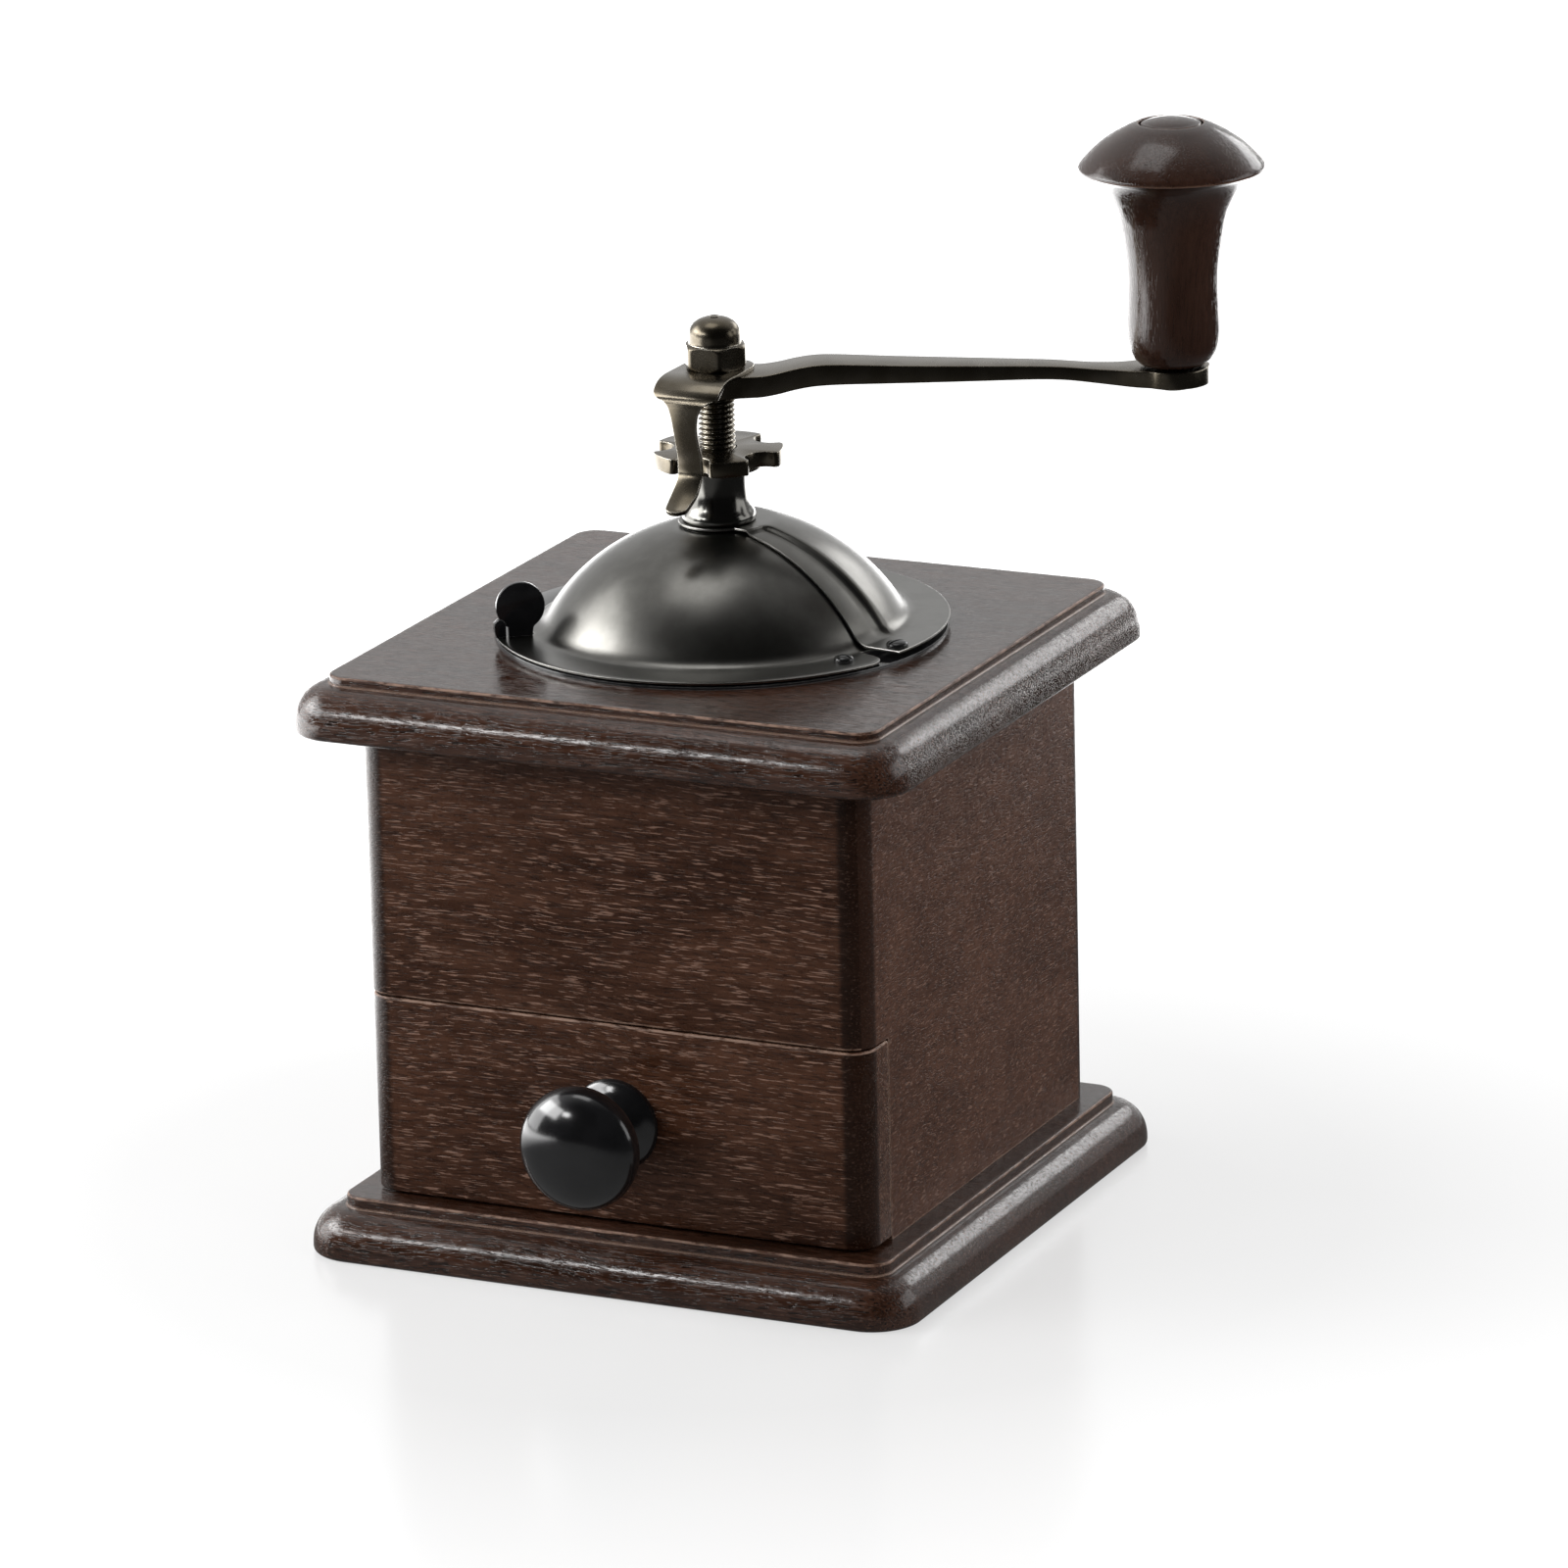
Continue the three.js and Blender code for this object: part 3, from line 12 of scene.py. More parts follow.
import bmesh
import bpy
from mathutils import Matrix, Vector


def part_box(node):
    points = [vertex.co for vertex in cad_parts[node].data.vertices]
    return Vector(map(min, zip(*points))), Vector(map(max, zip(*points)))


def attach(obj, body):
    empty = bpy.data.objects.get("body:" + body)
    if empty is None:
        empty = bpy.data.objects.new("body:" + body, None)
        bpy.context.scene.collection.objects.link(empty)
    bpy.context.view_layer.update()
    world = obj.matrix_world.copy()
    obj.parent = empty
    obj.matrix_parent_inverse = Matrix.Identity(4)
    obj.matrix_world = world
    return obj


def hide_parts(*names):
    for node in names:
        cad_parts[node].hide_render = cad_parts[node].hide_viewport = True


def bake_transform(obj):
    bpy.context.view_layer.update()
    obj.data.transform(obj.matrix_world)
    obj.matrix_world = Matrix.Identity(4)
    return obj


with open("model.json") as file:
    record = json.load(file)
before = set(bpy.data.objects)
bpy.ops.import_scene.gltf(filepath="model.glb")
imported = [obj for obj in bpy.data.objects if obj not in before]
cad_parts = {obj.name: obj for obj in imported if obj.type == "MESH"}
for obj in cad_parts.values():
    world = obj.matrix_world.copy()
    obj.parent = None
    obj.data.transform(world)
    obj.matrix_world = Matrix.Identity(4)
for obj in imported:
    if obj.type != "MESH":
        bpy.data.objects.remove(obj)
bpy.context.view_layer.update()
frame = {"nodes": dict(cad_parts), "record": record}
MM = 0.001
scene = bpy.context.scene


def cosd(degrees):
    return math.cos(math.radians(degrees))


def sind(degrees):
    return math.sin(math.radians(degrees))


# %% [markdown]
# ## Camera
#
# The photograph was taken from the right front, a little above, with a long lens, so that upright edges
# stay nearly parallel. A camera in Blender looks along its own -Z, so its matrix is made of the three
# directions right, up and back. Building the matrix is surer than a Track To constraint, because the small
# roll of the photograph goes in exactly.

# %% Camera
AZIMUTH = 25.14      # degrees from -Y towards +X
ELEVATION = 16.63
ROLL = -1.34
EYE = Vector((0.7541, -1.5808, 0.6058))
LENS = 219.84        # on a sensor of the width below
SENSOR = 36


def outward(azimuth, elevation):
    """Unit vector from the mill to an eye or a lamp at that azimuth and elevation, in degrees."""
    return Vector((sind(azimuth) * cosd(elevation), -cosd(azimuth) * cosd(elevation), sind(elevation)))


def aim(eye, azimuth, elevation, roll=0.0):
    """Matrix of a camera or lamp at eye that looks back along the given azimuth and elevation."""
    level_right = Vector((cosd(azimuth), sind(azimuth), 0))
    back = outward(azimuth, elevation)
    level_up = back.cross(level_right)
    right = level_right * cosd(roll) + level_up * sind(roll)
    up = level_up * cosd(roll) - level_right * sind(roll)
    rotation = Matrix((right, up, back)).transposed()
    return Matrix.Translation(eye) @ rotation.to_4x4()


camera = bpy.data.objects.new("camera", bpy.data.cameras.new("camera"))
camera.data.lens = LENS
camera.data.sensor_width = SENSOR
camera.matrix_world = aim(EYE, AZIMUTH, ELEVATION, ROLL)
scene.collection.objects.link(camera)
scene.camera = camera
print("camera at", tuple(round(v, 3) for v in EYE), "lens", LENS)


# %% [markdown]
# ## Light
#
# The bright patches on the steel dome and on the mouldings tell where the lamps stood. Reflecting the line
# of sight there gives a tall soft box on the left, a strip behind, a low box on the right, a small box at
# the front left and a weak one overhead. The side of the camera was dark. Area lamps make such boxes
# directly.

# %% Soft boxes
MIDDLE = Vector((0, 0, 0.1))      # the point of the mill that every lamp faces


def soft_box(name, azimuth, elevation, distance, width, height, strength, mirrored=True):
    """A lamp seen from the mill at that azimuth and elevation, in degrees, facing the mill."""
    lamp = bpy.data.lights.new(name, "AREA")
    lamp.shape = "RECTANGLE"
    lamp.size = width
    lamp.size_y = height
    lamp.energy = strength
    box = bpy.data.objects.new(name, lamp)
    box.matrix_world = aim(MIDDLE + outward(azimuth, elevation) * distance, azimuth, elevation)
    box.visible_glossy = mirrored
    scene.collection.objects.link(box)


soft_box("left_soft_box", -80, 21, 1.0, 0.7, 0.85, 7.0)
soft_box("left_bright_core", -63, 27, 0.95, 0.8, 0.3, 6.0)
soft_box("top_soft_box", -100, 80, 1.1, 0.5, 0.5, 1.6)
soft_box("back_strip", 166, 22, 1.1, 0.5, 0.26, 1.7)
soft_box("front_glint_box", -29, 29, 1.2, 0.2, 0.14, 1.2)
soft_box("right_low_box", 116, 18, 1.1, 0.8, 0.55, 2.4)
# The next two only fill the shadows. Glossy rays do not see them, so they make no glint.
soft_box("front_fill", 0, 20, 1.3, 1.0, 0.7, 2.7, mirrored=False)
soft_box("right_fill", 88, 22, 1.2, 0.9, 0.8, 6.3, mirrored=False)


# %% [markdown]
# ## Backdrop
#
# The background is pure white and the object stands on a white floor that keeps its soft shadow. The world
# shows white to the camera. Polished steel has to see a studio too: white behind the object, dark on the
# side of the camera. The Light Path node tells camera rays and glossy rays apart. The floor's white glow
# for the camera is weaker near the object, which paints shade round it. For glossy rays the floor has its
# own answer as well: a painted glow, strongest far to the left, which draws the upright highlights on the
# grip, the hub and the left corner, and hardly any light elsewhere.

# %% World
AMBIENT = 0.16          # plain grey light from all around
STUDIO_BACK = 1.05      # brightness of the white paper behind the object, in reflections
STUDIO_FRONT = 0.02
STUDIO_WAY = (-0.50, 0.80, 0.30)

world = bpy.data.worlds.new("studio")
scene.world = world
world.use_nodes = True
tree = world.node_tree
tree.nodes.clear()


def add(tree, kind, **values):
    """A node of that kind. Values name either a property of the node or one of its input sockets."""
    node = tree.nodes.new(kind)
    for name, value in values.items():
        if hasattr(node, name):
            setattr(node, name, value)
        else:
            node.inputs[name.replace("_", " ")].default_value = value
    return node


def join(tree, *pairs):
    """Links each (output, input) pair."""
    for source, target in pairs:
        tree.links.new(source, target)


where = add(tree, "ShaderNodeTexCoord")
turn = add(tree, "ShaderNodeVectorMath", operation="DOT_PRODUCT")
turn.inputs[1].default_value = STUDIO_WAY
studio = add(tree, "ShaderNodeMapRange", From_Min=-0.15, From_Max=0.9,
             To_Min=STUDIO_FRONT, To_Max=STUDIO_BACK)
studio.interpolation_type = "SMOOTHSTEP"
rays = add(tree, "ShaderNodeLightPath")
pick_glossy = add(tree, "ShaderNodeMix", data_type="FLOAT")
pick_glossy.inputs[2].default_value = AMBIENT
pick_camera = add(tree, "ShaderNodeMix", data_type="FLOAT")
pick_camera.inputs[3].default_value = 1.0
background = add(tree, "ShaderNodeBackground")
out = add(tree, "ShaderNodeOutputWorld")
join(
    tree,
    (where.outputs["Generated"], turn.inputs[0]),
    (turn.outputs["Value"], studio.inputs["Value"]),
    (rays.outputs["Is Glossy Ray"], pick_glossy.inputs[0]),
    (studio.outputs[0], pick_glossy.inputs[3]),
    (rays.outputs["Is Camera Ray"], pick_camera.inputs[0]),
    (pick_glossy.outputs[0], pick_camera.inputs[2]),
    (pick_camera.outputs[0], background.inputs["Strength"]),
    (background.outputs[0], out.inputs["Surface"]),
)
scene.view_settings.view_transform = "Standard"

# %% Floor
FLOOR = 6.0           # half the floor's width
LEFT_WAY = (-0.87, 0.5, 0)
floor_mesh = bpy.data.meshes.new("floor")
floor_corners = [(x * FLOOR, y * FLOOR, 0) for x, y in ((-1, -1), (1, -1), (1, 1), (-1, 1))]
floor_mesh.from_pydata(floor_corners, [], [(0, 1, 2, 3)])
floor = bpy.data.objects.new("floor", floor_mesh)
scene.collection.objects.link(floor)
paper = bpy.data.materials.new("white_floor_painted_shade_and_glow")
paper.use_nodes = True
tree = paper.node_tree
shader = tree.nodes["Principled BSDF"]
shader.inputs["Base Color"].default_value = (0.3, 0.3, 0.3, 1)
shader.inputs["Roughness"].default_value = 0.2
shader.inputs["Emission Color"].default_value = (1, 1, 1, 1)
rays = add(tree, "ShaderNodeLightPath")
lift = add(tree, "ShaderNodeMath", operation="MULTIPLY")
mirrored = add(tree, "ShaderNodeEmission")
place = add(tree, "ShaderNodeTexCoord")
away = add(tree, "ShaderNodeVectorMath", operation="LENGTH")
# Painted shade: the camera sees the floor glow at 0.93 of white far off but only 0.56 near the object, which
# darkens the floor round it.
white_lift_and_painted_shade = add(tree, "ShaderNodeMapRange", From_Min=0.12, From_Max=0.36, To_Min=0.56, To_Max=0.93)
apart = add(tree, "ShaderNodeSeparateXYZ")
to_left = add(tree, "ShaderNodeVectorMath", operation="DOT_PRODUCT")
to_left.inputs[1].default_value = LEFT_WAY
# Painted glow: glossy rays see the floor emit light, up to five times white towards the left and weakly on
# the right, which paints highlights on upright steel and wood.
left = add(tree, "ShaderNodeMapRange", From_Min=0.06, From_Max=0.24, To_Min=0.0, To_Max=5.0)
right = add(tree, "ShaderNodeMapRange", From_Min=0.0, From_Max=0.3, To_Min=0.24, To_Max=0.04)
side = add(tree, "ShaderNodeMath", operation="ADD")
swap = add(tree, "ShaderNodeMixShader")
join(
    tree,
    (place.outputs["Object"], away.inputs[0]),
    (away.outputs["Value"], white_lift_and_painted_shade.inputs["Value"]),
    (rays.outputs["Is Camera Ray"], lift.inputs[0]),
    (white_lift_and_painted_shade.outputs[0], lift.inputs[1]),
    (lift.outputs[0], shader.inputs["Emission Strength"]),
    (place.outputs["Object"], apart.inputs[0]),
    (place.outputs["Object"], to_left.inputs[0]),
    (to_left.outputs["Value"], left.inputs["Value"]),
    (apart.outputs["X"], right.inputs["Value"]),
    (left.outputs[0], side.inputs[0]),
    (right.outputs[0], side.inputs[1]),
    (side.outputs[0], mirrored.inputs["Strength"]),
    (rays.outputs["Is Glossy Ray"], swap.inputs[0]),
    (shader.outputs[0], swap.inputs[1]),
    (mirrored.outputs[0], swap.inputs[2]),
    (swap.outputs[0], tree.nodes["Material Output"].inputs["Surface"]),
)
floor_mesh.materials.append(paper)


# %% [markdown]
# ## Finishes
#
# Three things return in several finishes: a grain that runs along the wood, wear that bares the edges,
# and a fine mottle in lacquer or blacking. Each is a shader node group, built once. A group is surer
# than copied nodes, because one change reaches every finish. The groups work on object coordinates in
# metres, so a grain line has its real width on every piece.

# %% Group: grain
def group(name, inputs, outputs):
    """An empty shader node group with float inputs {name: default} and the named outputs."""
    tree = bpy.data.node_groups.new(name, "ShaderNodeTree")
    tree.interface.new_socket("Vector", in_out="INPUT", socket_type="NodeSocketVector")
    for key, default in inputs.items():
        socket = tree.interface.new_socket(key, in_out="INPUT", socket_type="NodeSocketFloat")
        socket.default_value = default
    for key in outputs:
        tree.interface.new_socket(key, in_out="OUTPUT", socket_type="NodeSocketFloat")
    return tree, tree.nodes.new("NodeGroupInput"), tree.nodes.new("NodeGroupOutput")


def noise(tree, vector, scale, detail=3.0, roughness=0.55):
    node = add(tree, "ShaderNodeTexNoise", Scale=scale, Detail=detail, Roughness=roughness)
    join(tree, (vector, node.inputs["Vector"]))
    return node.outputs["Fac"]


def ramp(tree, value, low, high, to_low=0.0, to_high=1.0):
    """The value between low and high, stretched smoothly to another range."""
    node = add(tree, "ShaderNodeMapRange", From_Min=low, From_Max=high, To_Min=to_low, To_Max=to_high)
    node.interpolation_type = "SMOOTHSTEP"
    join(tree, (value, node.inputs["Value"]))
    return node.outputs[0]


def math_node(tree, operation, a, b):
    node = add(tree, "ShaderNodeMath", operation=operation)
    for k, value in enumerate((a, b)):
        if isinstance(value, (int, float)):
            node.inputs[k].default_value = value
        else:
            join(tree, (value, node.inputs[k]))
    return node.outputs[0]


def times(tree, a, b):
    return math_node(tree, "MULTIPLY", a, b)


def plus(tree, a, b):
    return math_node(tree, "ADD", a, b)


def stretched(tree, vector, factors):
    node = add(tree, "ShaderNodeVectorMath", operation="MULTIPLY")
    join(tree, (vector, node.inputs[0]))
    node.inputs[1].default_value = factors
    return node.outputs["Vector"]


GRAIN, start, end = group("grain", {}, ["Streaks", "Flecks", "Pores", "Clouds"])
# The grain runs along the first coordinate.
bend = noise(GRAIN, start.outputs["Vector"], 14.0, 2.0)
wavy = add(GRAIN, "ShaderNodeVectorMath", operation="MULTIPLY_ADD")
offset = add(GRAIN, "ShaderNodeCombineXYZ")
join(
    GRAIN,
    (bend, offset.inputs[1]),
    (bend, offset.inputs[2]),
    (offset.outputs[0], wavy.inputs[0]),
    (start.outputs["Vector"], wavy.inputs[2]),
)
wavy.inputs[1].default_value = (0, 0.006, 0.006)
streaks = noise(GRAIN, stretched(GRAIN, wavy.outputs[0], (70, 1000, 1000)), 1.0, 5.0, 0.7)
flecks = noise(GRAIN, stretched(GRAIN, wavy.outputs[0], (240, 3400, 3400)), 1.0, 2.0, 0.5)
pores = noise(GRAIN, stretched(GRAIN, wavy.outputs[0], (300, 3000, 3000)), 1.0, 1.0, 0.5)
clouds = noise(GRAIN, stretched(GRAIN, start.outputs["Vector"], (22, 90, 90)), 1.0, 4.0, 0.6)
join(
    GRAIN,
    (ramp(GRAIN, streaks, 0.38, 0.62), end.inputs["Streaks"]),
    (ramp(GRAIN, flecks, 0.585, 0.65), end.inputs["Flecks"]),
    (ramp(GRAIN, pores, 0.54, 0.66), end.inputs["Pores"]),
    (ramp(GRAIN, clouds, 0.34, 0.66), end.inputs["Clouds"]),
)
print("group grain:", len(GRAIN.nodes), "nodes")

# %% Group: worn edges
WORN, start, end = group("worn_edges", {"Threshold": 0.5, "Reach": 0.0004}, ["Mask"])
soft_normal = add(WORN, "ShaderNodeBevel")
soft_normal.samples = 4
surface = add(WORN, "ShaderNodeNewGeometry")
facing = add(WORN, "ShaderNodeVectorMath", operation="DOT_PRODUCT")
join(
    WORN,
    (start.outputs["Reach"], soft_normal.inputs["Radius"]),
    (soft_normal.outputs[0], facing.inputs[0]),
    (surface.outputs["Normal"], facing.inputs[1]),
)
edge = ramp(WORN, facing.outputs["Value"], 0.985, 0.90)
chips = noise(WORN, start.outputs["Vector"], 900.0, 3.0, 0.7)
patches = noise(WORN, start.outputs["Vector"], 70.0, 2.0, 0.5)
wear = times(WORN, edge, plus(WORN, chips, patches))
mask = add(WORN, "ShaderNodeMapRange", To_Min=0.0, To_Max=1.0)
join(
    WORN,
    (wear, mask.inputs["Value"]),
    (start.outputs["Threshold"], mask.inputs["From Min"]),
    (plus(WORN, start.outputs["Threshold"], 0.25), mask.inputs["From Max"]),
    (mask.outputs[0], end.inputs["Mask"]),
)
print("group worn_edges:", len(WORN.nodes), "nodes")

# %% Group: mottle
MOTTLE, start, end = group("mottle", {"Coarse": 300.0, "Fine": 1800.0}, ["Clouds", "Specks", "Height"])
coarse = add(MOTTLE, "ShaderNodeTexNoise", Detail=3.0, Roughness=0.55)
fine = add(MOTTLE, "ShaderNodeTexNoise", Detail=2.0, Roughness=0.6)
join(
    MOTTLE,
    (start.outputs["Vector"], coarse.inputs["Vector"]),
    (start.outputs["Coarse"], coarse.inputs["Scale"]),
    (start.outputs["Vector"], fine.inputs["Vector"]),
    (start.outputs["Fine"], fine.inputs["Scale"]),
    (ramp(MOTTLE, coarse.outputs["Fac"], 0.35, 0.65), end.inputs["Clouds"]),
    (ramp(MOTTLE, fine.outputs["Fac"], 0.55, 0.75), end.inputs["Specks"]),
    (plus(MOTTLE, coarse.outputs["Fac"], times(MOTTLE, fine.outputs["Fac"], 0.4)), end.inputs["Height"]),
)
print("group mottle:", len(MOTTLE.nodes), "nodes")


# %% [markdown]
# ## Lacquered wood
#
# The boards are close-grained wood, stained deep brown and lacquered. Fine light dashes run along the
# grain, the lacquer has a slight orange peel, and the edges are rubbed paler. The stain varies through a
# mix of colours, and the lacquer is the shader's own low roughness.

# %% Wood finish
def new_material(name):
    material = bpy.data.materials.new(name)
    material.use_nodes = True
    tree = material.node_tree
    return material, tree, tree.nodes["Principled BSDF"]


def use(tree, node_group, vector, **values):
    node = tree.nodes.new("ShaderNodeGroup")
    node.node_tree = node_group
    join(tree, (vector, node.inputs["Vector"]))
    for name, value in values.items():
        node.inputs[name].default_value = value
    return node


def blend_colours(tree, factor, low, high):
    node = add(tree, "ShaderNodeMix", data_type="RGBA")
    join(tree, (factor, node.inputs[0]))
    for k, value in ((6, low), (7, high)):
        if isinstance(value, tuple):
            node.inputs[k].default_value = (*value, 1)
        else:
            join(tree, (value, node.inputs[k]))
    return node.outputs[2]


def bump(tree, shader, height, depth):
    """Relief of that depth in millimetres, as the shader's normal."""
    node = add(tree, "ShaderNodeBump", Strength=1.0, Distance=depth * MM)
    join(tree, (height, node.inputs["Height"]), (node.outputs[0], shader.inputs["Normal"]))


def shade(colour, factor):
    return tuple(c * factor for c in colour)


CORNER_SHADE_STARTS, CORNER_SHADE_FULL = 0.0464, 0.0478      # metres from the middle planes, where the painted shade on the rounded corners starts and is full


def wood(name, dark, light, bare, along="X", streak=0.5, fleck=0.55, gloss=0.3, level=0.3, wear=0.62,
         relief=0.03, corner=0.0, reach=0.0004, pore=0.5, short=1.0, dash=(0.28, 0.165, 0.12), rub=0.0):
    """Stained and lacquered wood, with the grain along one axis of the object.

    streak, fleck and pore say how much each part of the grain shows, dash is the flecks' colour and short
    shortens the grain. gloss is the lowest roughness. wear is the level at which edges go bare.
    """
    material, tree, shader = new_material(name)
    place = add(tree, "ShaderNodeTexCoord")
    split = add(tree, "ShaderNodeSeparateXYZ")
    order = {"X": (0, 1, 2), "Y": (1, 0, 2), "Z": (2, 0, 1)}[along]
    turned_place = add(tree, "ShaderNodeCombineXYZ")
    join(tree, (place.outputs["Object"], split.inputs[0]))
    for k, source in enumerate(order):
        join(tree, (split.outputs[source], turned_place.inputs[k]))
    grain = use(tree, GRAIN, stretched(tree, turned_place.outputs[0], (short, 1, 1)))
    worn = use(tree, WORN, place.outputs["Object"], Threshold=wear, Reach=reach)
    lacquer = use(tree, MOTTLE, place.outputs["Object"], Coarse=450.0, Fine=2200.0)
    tone = times(tree, grain.outputs["Streaks"], streak)
    tone = plus(tree, tone, times(tree, grain.outputs["Clouds"], 0.4))
    colour = blend_colours(tree, tone, dark, light)
    colour = blend_colours(tree, times(tree, grain.outputs["Flecks"], fleck), colour, dash)
    colour = blend_colours(tree, times(tree, grain.outputs["Pores"], pore), colour, shade(dark, 0.35))
    wear_mask = worn.outputs["Mask"]
    if corner:
        # Painted shade: the colour darkens on the rounded upright corners, which turn away from the lamps,
        # and no rubbed wear is drawn there.
        from_middle = [math_node(tree, "ABSOLUTE", split.outputs[k], 0) for k in (0, 1)]
        painted_corner_shade = times(tree, *[ramp(tree, d, CORNER_SHADE_STARTS, CORNER_SHADE_FULL) for d in from_middle])
        colour = blend_colours(tree, times(tree, painted_corner_shade, corner), colour, shade(dark, 0.3))
        wear_mask = times(tree, wear_mask, math_node(tree, "SUBTRACT", 1, painted_corner_shade))
    if rub:
        # An edge that hands and cloths have rubbed all along, in broken patches.
        rubbing = noise(tree, stretched(tree, place.outputs["Object"], (260, 260, 900)), 1.0, 3.0, 0.7)
        wear_mask = math_node(tree, "MAXIMUM", wear_mask, times(tree, ramp(tree, rubbing, 0.38, 0.6), rub))
    colour = blend_colours(tree, wear_mask, colour, bare)
    roughness = ramp(tree, lacquer.outputs["Clouds"], 0.0, 1.0, gloss, gloss + 0.08)
    join(tree, (colour, shader.inputs["Base Color"]), (roughness, shader.inputs["Roughness"]))
    height = plus(tree, times(tree, grain.outputs["Flecks"], 0.6), lacquer.outputs["Height"])
    bump(tree, shader, math_node(tree, "SUBTRACT", height, grain.outputs["Pores"]), relief)
    shader.inputs["Specular IOR Level"].default_value = level
    return material


WOOD_DARK = (0.026, 0.0085, 0.0034)
WOOD_LIGHT = (0.100, 0.043, 0.024)
WOOD_BARE = (0.34, 0.225, 0.17)
# Both case woods take corner=0.8: painted shade on the rounded upright corners.
case_wood = wood("case_wood_x", WOOD_DARK, WOOD_LIGHT, WOOD_BARE, streak=0.38, fleck=0.75, gloss=0.25,
                 level=0.22, corner=0.8, wear=0.58)
# The side boards are the same wood with the grain along Y and a warmer tone. Their colours are also made
# lighter than the front's: this is painted light for the right face, which the lamps leave dim.
side_wood_painted_lighter = wood("case_wood_y_painted_lighter", (0.046, 0.0165, 0.0080), (0.112, 0.050, 0.030), WOOD_BARE, along="Y",
                 streak=0.36, fleck=0.5, gloss=0.34, level=0.2, corner=0.8, short=2.4)
rubbed_wood = wood("rubbed_edge_wood", WOOD_DARK, WOOD_LIGHT, (0.30, 0.19, 0.14), rub=0.8)
plate_wood = wood("plate_wood", (0.016, 0.0055, 0.0024), (0.058, 0.025, 0.015), WOOD_BARE, gloss=0.11,
                  level=0.6, wear=0.55, fleck=0.15, relief=0.028, reach=0.0008, pore=0.85)
drawer_wood = wood("drawer_wood_plain", (0.30, 0.19, 0.11), (0.46, 0.33, 0.21), (0.5, 0.38, 0.26),
                   gloss=0.6, relief=0.05, dash=(0.55, 0.42, 0.29))
grip_wood = wood("grip_wood_z", (0.018, 0.0078, 0.005), (0.05, 0.024, 0.016), (0.34, 0.2, 0.14), along="Z",
                 streak=0.2, fleck=0.0, gloss=0.09, level=0.5, wear=0.5, relief=0.012, reach=0.0006, pore=0.2)
print("wood finishes ready")


# %% [markdown]
# ## Blackened and browned steel
#
# The dome and the hub are sheet and bar steel, blackened and oiled, with a satin sheen. The arm, the leaf
# and the nuts are browner. Both are one recipe: a metal whose colour, roughness and height follow the
# mottle, with the edges rubbed bright.

# %% Steel finishes
def steel(name, dark, light, bright, rough=0.32, spread=0.06, wear=0.6, metal=1.0, speck=0.5,
          relief=0.006, coarse=220.0, level=0.5, reach=0.00035):
    """Blackened, browned or enamelled metal. A metal value of 0 makes it enamel or thick black."""
    material, tree, shader = new_material(name)
    place = add(tree, "ShaderNodeTexCoord")
    blacking = use(tree, MOTTLE, place.outputs["Object"], Coarse=coarse, Fine=2600.0)
    worn = use(tree, WORN, place.outputs["Object"], Threshold=wear, Reach=reach)
    colour = blend_colours(tree, blacking.outputs["Clouds"], dark, light)
    colour = blend_colours(tree, times(tree, blacking.outputs["Specks"], speck), colour, dark)
    colour = blend_colours(tree, worn.outputs["Mask"], colour, bright)
    roughness = ramp(tree, blacking.outputs["Specks"], 0.0, 1.0, rough, rough + spread)
    join(tree, (colour, shader.inputs["Base Color"]), (roughness, shader.inputs["Roughness"]))
    shader.inputs["Metallic"].default_value = metal
    shader.inputs["Specular IOR Level"].default_value = level
    bump(tree, shader, blacking.outputs["Height"], relief)
    return material


BLACK = ((0.125, 0.122, 0.113), (0.145, 0.142, 0.132), (0.62, 0.61, 0.58))
dome_steel = steel("dome_steel_black", *BLACK, rough=0.28, spread=0.03, speck=0.2, relief=0.0012, wear=0.5)
hub_steel = steel("hub_steel_black", *BLACK, rough=0.17, speck=0.2, relief=0.002)
crank_steel = steel("crank_steel_brown", (0.105, 0.09, 0.066), (0.14, 0.123, 0.096), (0.62, 0.59, 0.52),
                    rough=0.25, spread=0.05, wear=0.32, speck=0.25, relief=0.0025, reach=0.00028)
black_steel = steel("black_enamel", (0.005, 0.005, 0.0055), (0.008, 0.008, 0.0088), (0.10, 0.10, 0.10),
                    rough=0.15, metal=0.0, wear=0.75, relief=0.002, level=0.85)
screw_steel = steel("black_screw_steel", (0.006, 0.006, 0.006), (0.012, 0.012, 0.012), (0.12, 0.12, 0.12),
                    rough=0.2, metal=0.0, wear=0.7)
plain_steel = steel("plain_steel_bright", (0.36, 0.35, 0.33), (0.48, 0.47, 0.45), (0.7, 0.7, 0.68))
burr_iron = steel("burr_iron_cast", (0.14, 0.135, 0.13), (0.24, 0.23, 0.22), (0.5, 0.49, 0.47),
                  rough=0.48, relief=0.05, coarse=900.0)
bush_brass = steel("bush_brass_dull", (0.42, 0.29, 0.12), (0.58, 0.43, 0.2), (0.8, 0.66, 0.38), rough=0.34)
print("steel finishes ready")


# %% [markdown]
# ## Making meshes
#
# Nearly every piece is a stack of rings with the same number of points: a turned piece is a stack of
# circles, a plate a stack of rounded squares, a nut a stack of notched outlines. One function skins such
# a stack. Primitives with modifiers could do some of this, but a stack of rings gives exact edges and
# roundings, and needs no clean-up.

# %% From points to a piece
SHARP = math.radians(34)
QUARTERS = ((1, 1, 0), (-1, 1, 90), (-1, -1, 180), (1, -1, 270))      # signs and first angle of each corner


